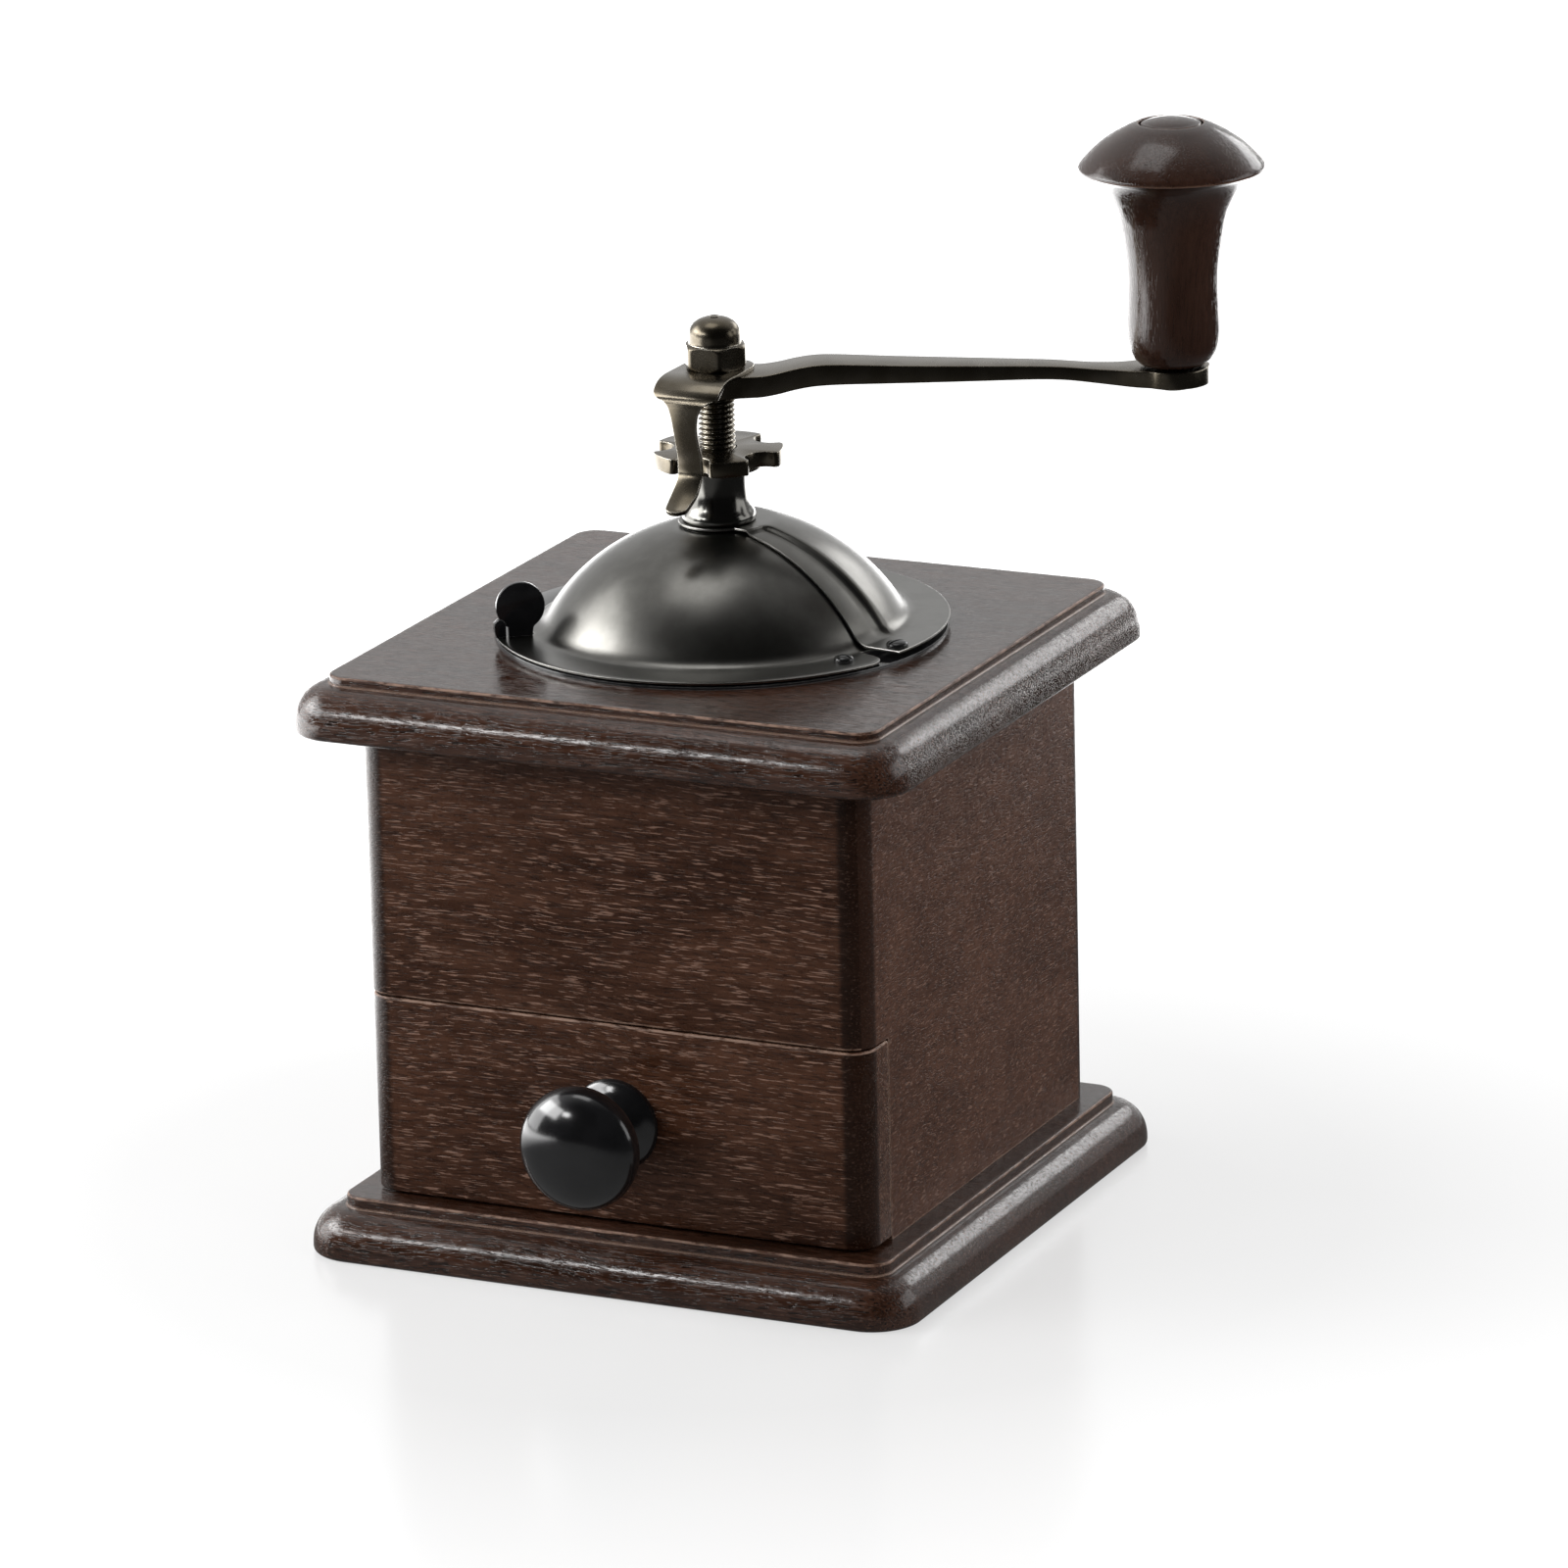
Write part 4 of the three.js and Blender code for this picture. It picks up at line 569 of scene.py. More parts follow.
def loft(rings, closed=False):
    """Points and faces through rings of equal count. A closed stack joins its last ring to the first."""
    n = len(rings[0])
    points = [p for ring in rings for p in ring]
    faces = []
    stacks = len(rings) if closed else len(rings) - 1
    for k in range(stacks):
        a, b = k * n, ((k + 1) % len(rings)) * n
        faces += [(a + i, a + (i + 1) % n, b + (i + 1) % n, b + i) for i in range(n)]
    if not closed:
        faces.append(tuple(range(n))[::-1])
        faces.append(tuple(range((len(rings) - 1) * n, len(rings) * n)))
    return points, faces


def tidy_mesh(bm):
    bmesh.ops.remove_doubles(bm, verts=bm.verts, dist=1e-6)
    bmesh.ops.dissolve_degenerate(bm, edges=bm.edges, dist=1e-7)
    bmesh.ops.recalc_face_normals(bm, faces=bm.faces)


def piece(name, shape, body, material, nodes=(), move=None, sharp=SHARP):
    """A mesh from (points, faces) in millimetres, or a ready bmesh in metres, riding on its body."""
    mesh = bpy.data.meshes.new(name)
    if isinstance(shape, bmesh.types.BMesh):
        bm = shape
    else:
        points, faces = shape
        mesh.from_pydata([Vector(p) * MM for p in points], [], faces)
        bm = bmesh.new()
        bm.from_mesh(mesh)
    if move is not None:
        bm.transform(move)
    tidy_mesh(bm)
    bm.to_mesh(mesh)
    bm.free()
    mesh.shade_smooth()
    mesh.set_sharp_from_angle(angle=sharp)
    mesh.materials.append(material)
    made = bpy.data.objects.new(name, mesh)
    scene.collection.objects.link(made)
    if body:
        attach(made, body)
        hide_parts(*nodes)
    print(f"{name}: {len(mesh.vertices)} points, {len(mesh.polygons)} faces")
    return made


def rub_faces(made, low, high):
    """Gives the rubbed finish to the faces between two levels, in millimetres, that slope or stand."""
    made.data.materials.append(rubbed_wood)
    for face in made.data.polygons:
        if low < face.center.z / MM < high and abs(face.normal.z) < 0.98:
            face.material_index = 1


def unit(a):
    """Unit vector in plan, at an angle in radians."""
    return Vector((math.cos(a), math.sin(a)))


def polar(r, a, z):
    """A point by its distance from the axis, its angle in radians and its height."""
    return r * math.cos(a), r * math.sin(a), z


def raised(points, z):
    """The same profile, (r, z) or (r, z, rounding), at a level."""
    return [(p[0], z + p[1], *p[2:]) for p in points]


def eased(a, b, c, shares):
    """Points of the bend that leaves a towards b and arrives at c from b."""
    return [tuple(a * (1 - t) ** 2 + b * 2 * t * (1 - t) + c * t * t) for t in shares]


def arc(cx, cy, rx, ry, a0, a1, steps):
    """Pairs along part of an ellipse, from angle a0 to a1 in degrees."""
    angles = [math.radians(a0 + (a1 - a0) * i / steps) for i in range(steps + 1)]
    return [(cx + rx * math.cos(a), cy + ry * math.sin(a)) for a in angles]


def rounded(corners, steps=4):
    """A profile of (r, z) or (r, z, rounding), with an arc at each corner that has a rounding."""
    line = []
    for k, corner in enumerate(corners):
        here = Vector(corner[:2])
        size = corner[2] if len(corner) > 2 else 0
        if not size or k in (0, len(corners) - 1):
            line.append(tuple(here))
            continue
        before = Vector(corners[k - 1][:2]) - here
        after = Vector(corners[k + 1][:2]) - here
        reach = min(size, before.length * 0.49, after.length * 0.49)
        a, b = here + before.normalized() * reach, here + after.normalized() * reach
        line += eased(a, here, b, [i / steps for i in range(steps + 1)])
    return line


def curve(points, steps=4):
    """A smooth line through all the points."""
    line = []
    p = [Vector(q) for q in points]
    for k in range(len(p) - 1):
        before = p[k - 1] if k else p[0] * 2 - p[1]
        after = p[k + 2] if k + 2 < len(p) else p[-1] * 2 - p[-2]
        for i in range(steps):
            t = i / steps
            line.append(0.5 * (
                2 * p[k] + (p[k + 1] - before) * t
                + (2 * before - 5 * p[k] + 4 * p[k + 1] - after) * t * t
                + (3 * p[k] - before - 3 * p[k + 1] + after) * t ** 3))
    line.append(p[-1])
    return [tuple(q) for q in line]


def circle_ring(r, z, sides=40, x=0.0, y=0.0):
    angles = [2 * math.pi * i / sides for i in range(sides)]
    return [(x + r * math.cos(a), y + r * math.sin(a), z) for a in angles]


def turned(profile, sides=96, x=0.0, y=0.0, closed=False):
    """A turned shape about a vertical line. A profile that isn't closed starts and ends on the line."""
    return loft([circle_ring(max(r, 0.001), z, sides, x, y) for r, z in profile], closed)


def bored(rings, radius):
    """The stack with a round bore: each end ring is joined to a circle with its points at the same angles."""
    ends = [[polar(radius, math.atan2(p[1], p[0]), p[2]) for p in rings[k]] for k in (0, -1)]
    return loft([ends[0], *rings, ends[1]], closed=True)


def level(node, side):
    """Lowest (0) or highest (1) level of a CAD node, in millimetres."""
    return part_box(node)[side].z / MM


# %% [markdown]
# ## Base and top plates
#
# Both plates are square boards with a raised flat, a small step and a quarter-round moulding, cut with a
# moulding cutter. The corners are rounded in plan, more at the outside than at the flat. A stack of
# rounded squares follows the cutter's profile, so that the highlights run evenly round the corners. The
# top plate also has the bore for the hopper, so its stack closes on itself through the bore.

# %% Plates
PLATE_HALF = 63.0
OUTER_CORNER = 9.5
FLAT_CORNER = 4.5
CORNER_STEPS = 12
SIDE_STEPS = 16
BASE_FLAT, BASE_STEP = 56.7, 2.4      # half width of the raised flat, and the height of its step
TOP_FLAT, TOP_STEP = 56.5, 1.8
HOPPER_BORE = 35.9
RUBBED = 0.5                          # height of the rubbed band along a step's edge


def rounded_square(half, corner, z):
    """Outline with points along the sides too, so that a bore drawn from it is round."""
    ring = []
    side = 2 * (half - corner) / SIDE_STEPS
    for sx, sy, a0 in QUARTERS:
        cx, cy = sx * (half - corner), sy * (half - corner)
        ring += [(x, y, z) for x, y in arc(cx, cy, corner, corner, a0, a0 + 90, CORNER_STEPS)]
        x, y = ring[-1][:2]
        dx, dy = -(sx + sy) / 2 * side, (sx - sy) / 2 * side
        ring += [(x + dx * i, y + dy * i, z) for i in range(1, SIDE_STEPS)]
    return ring


def plate_rings(z0, z1, flat, step, foot=1.0, land=0.8):
    """Rings from the underside to the raised flat."""
    low = z0 + foot + land
    line = arc(PLATE_HALF - foot, z0 + foot, foot, foot, -90, 0, 5)
    line += arc(flat + 0.35, low, PLATE_HALF - flat - 0.35, z1 - step - low, 0, 90, 24)
    line += [(flat + 0.12, z1 - step - 0.02), (flat, z1 - step + 0.1)]
    line += arc(flat - 0.45, z1 - 0.45, 0.45, 0.45, 0, 90, 4)
    line += [(flat - 1.2, z1)]
    rings = []
    for v, z in line:
        corner = FLAT_CORNER + (OUTER_CORNER - FLAT_CORNER) * (v - flat) / (PLATE_HALF - flat)
        rings.append(rounded_square(v, max(corner, 1.0), z))
    return rings


BASE_TOP = level("base_plate", 1)
CASE_TOP = level("top_plate", 0)
PLATE_Z = level("top_plate", 1)
base_moulding = piece("base_moulding", loft(plate_rings(0, BASE_TOP, BASE_FLAT, BASE_STEP)),
                      "case", plate_wood, ["base_plate"])
top_moulding = piece("top_moulding", bored(plate_rings(CASE_TOP, PLATE_Z, TOP_FLAT, TOP_STEP), HOPPER_BORE),
                     "case", plate_wood, ["top_plate"])
rub_faces(base_moulding, BASE_TOP - RUBBED, BASE_TOP)
rub_faces(top_moulding, PLATE_Z - RUBBED, PLATE_Z)


# %% [markdown]
# ## Case boards
#
# Four boards meet in mitres under rounded corners. The front board ends above the drawer, and the side
# boards are notched for the drawer front, which wraps round both corners. The lower edges of the notch and
# of the front board are rubbed round, and the seam catches light there. Each board is its plan, lifted to
# height, with the outer points drawn in a little at the seam.

# %% Boards
CASE_HALF = 52.0
WALL_IN = 44.0
CORNER = 5.0
SEAM_TOP = level("case_front_panel", 0)
NOTCH_Y = -41.7
SOFTEN = 0.5      # rounding of the edges at the seam
RUBBED_SEAM = 0.45


def board_plan(turn, notched):
    """Plan points (x, y, nx, ny) of a board. The n values point out of the case and are 0 inside."""
    line = [(WALL_IN, -WALL_IN, 0, 0)]
    for sy, a0 in ((-1, -45), (1, 0)):
        for x, y in arc(CASE_HALF - CORNER, sy * (CASE_HALF - CORNER), CORNER, CORNER, a0, a0 + 45, 9):
            a = math.atan2(y - sy * (CASE_HALF - CORNER), x - CASE_HALF + CORNER)
            line.append((x, y, 0, 0) if sy > 0 and notched else (x, y, math.cos(a), math.sin(a)))
        if sy < 0 and notched:
            line.append((CASE_HALF, NOTCH_Y, 0, 0))
    line.append((WALL_IN, WALL_IN, 0, 0))
    if notched:
        line.append((WALL_IN, NOTCH_Y, 0, 0))
    for _ in range(turn):
        line = [(-y, x, -ny, nx) for x, y, nx, ny in line]
    return line


def lifted(plan, z0, z1, soften=0.0, steps=4):
    """Rings from z0 to z1, drawn in by the rounding at the lower end."""
    rings = []
    for i in range(steps + 1 if soften else 1):
        a = math.radians(90 * i / steps)
        inward = soften * (1 - math.sin(a))
        z = z0 + soften * (1 - math.cos(a))
        rings.append([(x - nx * inward, y - ny * inward, z) for x, y, nx, ny in plan])
    rings.append([(x, y, z1) for x, y, _, _ in plan])
    return rings


def side_board(name, node, mirror):
    """A side board: full above the seam, cut back behind the drawer front below it."""
    plan = board_plan(0, True)
    upper = lifted(plan, SEAM_TOP, CASE_TOP, SOFTEN)
    points, faces = loft(upper)
    n = len(plan)
    behind = [k for k, p in enumerate(plan) if p[1] > NOTCH_Y - 0.01]
    ahead = [k for k, p in enumerate(plan) if p[1] < NOTCH_Y + 0.01]
    faces = [f for f in faces if f != tuple(range(n))[::-1]]
    faces.append(tuple(ahead))
    low, count = len(points), len(behind)
    points += [(plan[k][0], plan[k][1], BASE_TOP) for k in behind]
    for i in range(count):
        j = (i + 1) % count
        faces.append((low + i, low + j, behind[j], behind[i]))
    faces.append(tuple(range(low, low + count)))
    if mirror:
        points = [(-x, y, z) for x, y, z in points]
    return piece(name, (points, faces), "case", side_wood_painted_lighter, [node])


side_board("right_board", "case_right_side", False)
side_board("left_board", "case_left_side", True)
piece("back_board", loft(lifted(board_plan(1, False), BASE_TOP, CASE_TOP)),
      "case", case_wood, ["case_back_panel"])
front_board = piece("front_board", loft(lifted(board_plan(3, False), SEAM_TOP, CASE_TOP, SOFTEN)),
                    "case", case_wood, ["case_front_panel"])
rub_faces(front_board, SEAM_TOP, SEAM_TOP + RUBBED_SEAM)

# %% Drawer face
DRAWER_BOTTOM = level("drawer_front", 0) + 0.2      # a wider dark gap below and a finer seam above
DRAWER_TOP = level("drawer_front", 1) + 0.15
DRAWER_BACK = -42.0


def face_ring(z, inward):
    h, r = CASE_HALF - inward, CORNER - inward
    line = [(-h, DRAWER_BACK - inward), (h, DRAWER_BACK - inward)]
    line += arc(h - r, -h + r, r, r, 0, -90, 16) + arc(-h + r, -h + r, r, r, -90, -180, 16)
    return [(x, y, z) for x, y in line]


edge_steps = [(SOFTEN * (1 - sind(a)), SOFTEN * (1 - cosd(a))) for a in (0, 22.5, 45, 67.5, 90)]
rings = [face_ring(DRAWER_BOTTOM + rise, inward) for inward, rise in edge_steps]
rings += [face_ring(DRAWER_TOP - rise, inward) for inward, rise in reversed(edge_steps)]
drawer_face = piece("drawer_face", loft(rings), "drawer", case_wood, ["drawer_front"])
rub_faces(drawer_face, DRAWER_TOP - RUBBED_SEAM, DRAWER_TOP)


# %% [markdown]
# ## Drawer knob
#
# A mushroom knob of black enamelled steel: a flared foot, a thin neck and a round head. It is a turned
# piece. Its profile is a smooth curve through a few points, and it lies along -Y.

# %% Knob
KNOB_Z = 30.95
HEAD_R, HEAD_AT, HEAD_H = 12.0, 15.2, 7.0      # the round head is half an ellipse
knob_line = [(0, 0)] + rounded([(8.9, 0), (9.0, 0.5, 0.4), (8.7, 1.2, 0.5), (8.1, 1.6)])
knob_line += curve([(8.1, 1.6), (6.3, 2.7), (4.6, 4.6), (3.8, 7.0), (4.1, 9.0), (6.2, 10.6)], 5)[1:]
knob_line += curve([(6.2, 10.6), (9.3, 11.9), (11.3, 13.5)], 4)[1:]
knob_line += [(HEAD_R * cosd(t), HEAD_AT + HEAD_H * sind(t)) for t in range(-10, 90, 5)]
knob_line += [(0, HEAD_AT + HEAD_H)]
along_knob = Matrix.Translation((0, -CASE_HALF * MM, KNOB_Z * MM)) @ Matrix.Rotation(math.pi / 2, 4, "X")
piece("knob_turning", turned(knob_line), "drawer", black_steel, ["drawer_knob"], along_knob)


# %% [markdown]
# ## Dome
#
# Two pressed sheets cover the hopper. The fixed cover stands behind; the shutter turns under it. The front
# edges of the cover run from the hub outwards, and its last few millimetres step down to the shutter. Each
# sheet is a grid from the hub to the flange. The grid's columns follow the cut edges exactly, which a
# boolean cut could not do as cleanly, and then the sheet gets its thickness and its rubbed edges.

# %% Sheet metal helpers
SPHERE_Z = PLATE_Z - 18.0
LIP_START = Vector((0, -4.3))
LIP_ANGLE = -9.5
LEFT_LIP_ANGLE = 130.0
CREASE = 0.9                   # distance of the crease from the middle plane
SHEET = 0.5
FLANGE_R = 43.45
FLARE = 1.9                    # height of the flare between the dome and the flange
CROWN_ROUND = 1.2
DOME_STEPS = 22
COVER_HOLE, SHUTTER_HOLE = 5.8, 7.2


def crossing(start, degrees, radius):
    """Azimuth where a line from start meets a circle about the axis."""
    way = unit(math.radians(degrees))
    b, c = start.dot(way), start.dot(start) - radius * radius
    p = start + way * (-b + math.sqrt(b * b - c))
    return math.atan2(p.y, p.x)


def sheet_line(sphere_r, flange_z, crown_z, hole_r):
    """Profile of a pressed sheet's top side from the hole to the flange's rim, and where its foot is."""
    crown_edge = math.sqrt(sphere_r ** 2 - (crown_z - SPHERE_Z) ** 2)
    turn_in = crown_edge - CROWN_ROUND
    line = [(hole_r + (turn_in - hole_r) * i / 4, crown_z) for i in range(4)]
    theta_top = math.acos((crown_edge + CROWN_ROUND) / sphere_r)
    joint = Vector((sphere_r * math.cos(theta_top), SPHERE_Z + sphere_r * math.sin(theta_top)))
    line += eased(Vector((turn_in, crown_z)), Vector((crown_edge, crown_z)), joint, (0, 0.2, 0.4, 0.6, 0.8))
    theta_foot = math.asin((flange_z + FLARE - SPHERE_Z) / sphere_r)
    for i in range(DOME_STEPS + 1):
        th = theta_top + (theta_foot - theta_top) * i / DOME_STEPS
        line.append((sphere_r * math.cos(th), SPHERE_Z + sphere_r * math.sin(th)))
    a = Vector(line[-1])
    b = a + Vector((math.sin(theta_foot), -math.cos(theta_foot))) * (FLARE / math.cos(theta_foot))
    c = Vector((b.x + FLARE * 0.9, flange_z))
    line += eased(a, b, c, (0.15, 0.3, 0.45, 0.6, 0.8, 1))
    foot = len(line) - 1
    line += [(c.x + (FLANGE_R - c.x) * i / 5, flange_z) for i in range(1, 6)]
    return line, foot


def soften_edges(bm, edges, width):
    bmesh.ops.bevel(bm, geom=edges, offset=width * MM, segments=2, affect="EDGES", profile=0.5,
                    clamp_overlap=True)


def shell(grid, faces, thickness, soften=0.14):
    """A closed sheet: the surface, its copy moved inwards and walls between, with the edges softened."""
    bm = bmesh.new()
    top = [bm.verts.new(Vector(p) * MM) for p in grid]
    for f in faces:
        bm.faces.new([top[i] for i in f])
    bmesh.ops.recalc_face_normals(bm, faces=bm.faces)
    bm.normal_update()
    if sum(f.normal.z * f.calc_area() for f in bm.faces) < 0:
        bmesh.ops.reverse_faces(bm, faces=bm.faces)
        bm.normal_update()
    low = [bm.verts.new(v.co - v.normal * thickness * MM) for v in top]
    open_edges = [(e.verts[0], e.verts[1]) for e in bm.edges if e.is_boundary]
    index = {v: k for k, v in enumerate(top)}
    for f in list(bm.faces):
        bm.faces.new([low[index[v]] for v in reversed(f.verts)])
    rims = []
    for a, b in open_edges:
        bm.faces.new([a, b, low[index[b]], low[index[a]]])
        rims += [(a, b), (low[index[a]], low[index[b]])]
    bmesh.ops.recalc_face_normals(bm, faces=bm.faces)
    edges = [bm.edges.get(pair) for pair in rims]
    soften_edges(bm, [e for e in edges if e], soften)
    return bm


def grid_faces(rows, columns):
    return [(r * columns + c, r * columns + c + 1, (r + 1) * columns + c + 1, (r + 1) * columns + c)
            for r in range(rows - 1) for c in range(columns - 1)]


# %% Fixed cover
COVER_R, LIP_R = 40.9, 40.1    # radius of the round part behind the crease, and of the lip in front of it
CROWN_Z = level("dome_cover", 1)
COVER_TOP = PLATE_Z + 2.4
behind_line, _ = sheet_line(COVER_R, COVER_TOP, CROWN_Z, COVER_HOLE)
low_line, _ = sheet_line(LIP_R, COVER_TOP, CROWN_Z, COVER_HOLE)
FIRST, LAST = 9, 31                      # rows on the round part of the dome, between the crown and the flare
SHRINK_FROM, SHRINK_OVER = 9.8, 1.4      # where the crown's edge starts to step down, and over how far


def slope_at(line, sphere_r):
    return math.asin((line[LAST][1] - SPHERE_Z) / sphere_r)


slide = slope_at(low_line, LIP_R) - slope_at(behind_line, COVER_R)


def smooth_step(t):
    t = min(max(t, 0), 1)
    return t * t * (3 - 2 * t)


lip_line = []
for k, (r, z) in enumerate(behind_line):
    if k < FIRST:
        shrink = 1 - (1 - LIP_R / COVER_R) * smooth_step((r - SHRINK_FROM) / SHRINK_OVER)
        lip_line.append((r * shrink, SPHERE_Z + (z - SPHERE_Z) * shrink))
    elif k <= LAST:
        th = math.atan2(z - SPHERE_Z, r) + slide * (k - FIRST) / (LAST - FIRST)
        lip_line.append((LIP_R * math.cos(th), SPHERE_Z + LIP_R * math.sin(th)))
    else:
        lip_line.append(low_line[k])
JOGGLE = 1.7                   # width of the step beside the crease
BAND = [0.25, 0.5, 0.75, 1.0]
BACK_COLUMNS = 56
TONGUE_ROWS = 3                # the crown ring in front of the hub belongs to the first rows
FRONT = 40                     # columns of that ring
points, ends = [], []
for (r0, z0), (r1, z1) in zip(behind_line, lip_line):
    crease = -math.asin(CREASE / r0)
    left = crossing(LIP_START, LEFT_LIP_ANGLE, r0)
    right = crossing(LIP_START, LIP_ANGLE, r1)
    width = (crease - right) * r0
    steps = [JOGGLE * b for b in BAND] + [JOGGLE + (width - JOGGLE) * i / 4 for i in range(1, 5)]
    for d in reversed(steps):
        f = smooth_step(d / JOGGLE)
        a = crease - (crease - right) * d / width
        points.append(polar(r0 + (r1 - r0) * f, a, z0 + (z1 - z0) * f))
    for i in range(BACK_COLUMNS + 1):
        points.append(polar(r0, crease + (left - crease) * i / BACK_COLUMNS, z0))
    ends.append((right, left - 2 * math.pi))
columns = len(steps) + BACK_COLUMNS + 1
faces = grid_faces(len(behind_line), columns)
rows = []
for k in range(TONGUE_ROWS):
    right, left = ends[k]
    r, z = behind_line[k]
    row = [k * columns]
    for i in range(1, FRONT):
        row.append(len(points))
        points.append(polar(r, right + (left - right) * i / FRONT, z))
    rows.append(row + [k * columns + columns - 1])
for inner, outer in zip(rows, rows[1:]):
    faces += [(inner[i], inner[i + 1], outer[i + 1], outer[i]) for i in range(FRONT)]
piece("cover_sheet", shell(points, faces, SHEET), "case", dome_steel, ["dome_cover"],
      sharp=math.radians(20))

# %% Turning shutter
SHUTTER_R = 39.5
SHUTTER_TOP = PLATE_Z + 1.5
SHUTTER_CROWN = CROWN_Z - 0.9
TUCK = 2.7                     # how far the shutter reaches under the cover
SHUTTER_SHEET = 0.45
inward = [unit(math.radians(a)) for a in (LIP_ANGLE + 90, LEFT_LIP_ANGLE - 90)]
det = inward[0].x * inward[1].y - inward[0].y * inward[1].x
shift = Vector((TUCK * (inward[1].y - inward[0].y), TUCK * (inward[0].x - inward[1].x))) / det
tuck_start = LIP_START + shift
line, foot = sheet_line(SHUTTER_R, SHUTTER_TOP, SHUTTER_CROWN, SHUTTER_HOLE)
# The flange's outer edge as (angle, radius), with a rounded corner at each end.
FLANGE_START, FLANGE_END = -144.0, -18.6
flange_out = [(FLANGE_START, 42.7), (-143.0, 43.3)]
flange_out += [(-142.0 + 118 * i / 48, FLANGE_R) for i in range(49)]
flange_out += [(-22.9, 43.3), (-21.8, 43.0), (-20.8, 42.5), (-20.0, 42.0), (-19.3, 41.2), (-18.9, 40.3),
               (FLANGE_END, 38.9)]
foot_r = line[foot][0]
left_foot = math.degrees(crossing(tuck_start, LEFT_LIP_ANGLE, foot_r)) - 360
right_foot = math.degrees(crossing(tuck_start, LIP_ANGLE, foot_r))
before = [left_foot + (FLANGE_START - left_foot) * i / 30 for i in range(30)]
after = [FLANGE_END + (right_foot - FLANGE_END) * i / 5 for i in range(1, 6)]
foot_columns = before + [a for a, _ in flange_out] + after
shares = [(a - left_foot) / (right_foot - left_foot) for a in foot_columns]
points = []
for r, z in line[:foot + 1]:
    left = crossing(tuck_start, LEFT_LIP_ANGLE, r) - 2 * math.pi
    right = crossing(tuck_start, LIP_ANGLE, r)
    points += [polar(r, left + (right - left) * s, z) for s in shares]
columns = len(shares)
faces = grid_faces(foot + 1, columns)
rows = [foot * columns + len(before) + i for i in range(len(flange_out))]
for k in range(1, 6):
    new_row = list(range(len(points), len(points) + len(flange_out)))
    for a, far in flange_out:
        points.append(polar(foot_r + (far - foot_r) * k / 5, math.radians(a), SHUTTER_TOP))
    faces += [(rows[i], rows[i + 1], new_row[i + 1], new_row[i]) for i in range(len(flange_out) - 1)]
    rows = new_row
piece("shutter_sheet", shell(points, faces, SHUTTER_SHEET), "shutter_half", dome_steel,
      ["shutter"])

# %% Rim of the hopper
RIM_TOP, RIM_LOW = level("hopper_rim", 1), level("hopper_rim", 0)
RIM_IN, RIM_NECK, RIM_OUT = 34.8, 35.6, 43.2
rim_line = rounded([(RIM_IN, RIM_TOP - 1), (RIM_IN, RIM_TOP, 0.2), (RIM_OUT, RIM_TOP, 0.15),
                    (RIM_OUT, PLATE_Z), (RIM_NECK, PLATE_Z), (RIM_NECK, RIM_LOW), (RIM_IN, RIM_LOW),
                    (RIM_IN, RIM_TOP - 1)], 2)
piece("hopper_rim_ring", turned(rim_line, closed=True), "case", black_steel, ["hopper_rim"])


# %% [markdown]
# ## Screws and the thumb tab
#
# Round-headed screws with a slot hold the cover, and a rivet of the same make is the shutter's stop. The
# slot is cut out of the turned head with a boolean, because it crosses every ring of the stack. The thumb
# tab is a disc on a short neck, upright on the shutter's flange.

# %% Round heads
def cut_box(target, centre, size, turn):
    """Cuts a box out of a piece with the exact boolean solver."""
    bm = bmesh.new()
    bmesh.ops.create_cube(bm, size=1.0)
    bm.transform(Matrix.Translation(Vector(centre) * MM) @ Matrix.Rotation(math.radians(turn), 4, "Z")
                 @ Matrix.Diagonal((*[s * MM for s in size], 1)))
    mesh = bpy.data.meshes.new("cutter")
    bm.to_mesh(mesh)
    bm.free()
    cutter = bpy.data.objects.new("cutter", mesh)
    scene.collection.objects.link(cutter)
    modifier = target.modifiers.new("slot", "BOOLEAN")
    modifier.object = cutter
    modifier.operation = "DIFFERENCE"
    modifier.solver = "EXACT"
    bpy.context.view_layer.update()
    graph = bpy.context.evaluated_depsgraph_get()
    result = bpy.data.meshes.new_from_object(target.evaluated_get(graph))
    target.modifiers.clear()
    old = target.data
    target.data = result
    bpy.data.meshes.remove(old)
    bpy.data.objects.remove(cutter)
    result.set_sharp_from_angle(angle=SHARP)


def round_head(name, node, body, r, height, z, out, angle, slot_turn, shank):
    """A slotted head of radius r, set at a distance and an angle from the axis."""
    x, y = out * cosd(angle), out * sind(angle)
    line = [(0, z - 0.3), (shank, z - 0.3), (shank, z)]
    line += rounded([(shank, z), (r, z, 0.1), (r, z + 0.35)])[1:]
    line += arc(0, z + 0.35, r, height - 0.35, 0, 90, 7)[1:]
    head = piece(name, turned(line, 40, x, y), body, screw_steel, [node])
    cut_box(head, (x, y, z + height), (r * 3, 0.7, height * 1.1), slot_turn)


COVER_SCREWS = ((-11, 62), (76, 112), (118, 162))      # place and direction of the slot, in degrees
SCREW_CIRCLE, RIVET_CIRCLE = 40.8, 38
for i, (angle, slot_turn) in enumerate(COVER_SCREWS):
    round_head(f"cover_round_head_{i + 1}", f"cover_screw_{i + 1}", "case", 2.1, 1.1, COVER_TOP,
               SCREW_CIRCLE, angle, slot_turn, 1.5)
round_head("stop_round_head", "shutter_stop_rivet", "shutter_half", 1.9, 1.2, SHUTTER_TOP,
           RIVET_CIRCLE, -28, -10, 1.2)

# %% Thumb tab
TAB_R = 4.7
TAB_AT, TAB_LIFT = 38.8, 5.9
tab_outline = [(36.6, 0.0), (41.2, 0.0), (41.25, 2.1)]
tab_outline += arc(TAB_AT, TAB_LIFT, TAB_R, TAB_R, -56, 236, 44)
tab_outline += [(36.4, 1.6)]


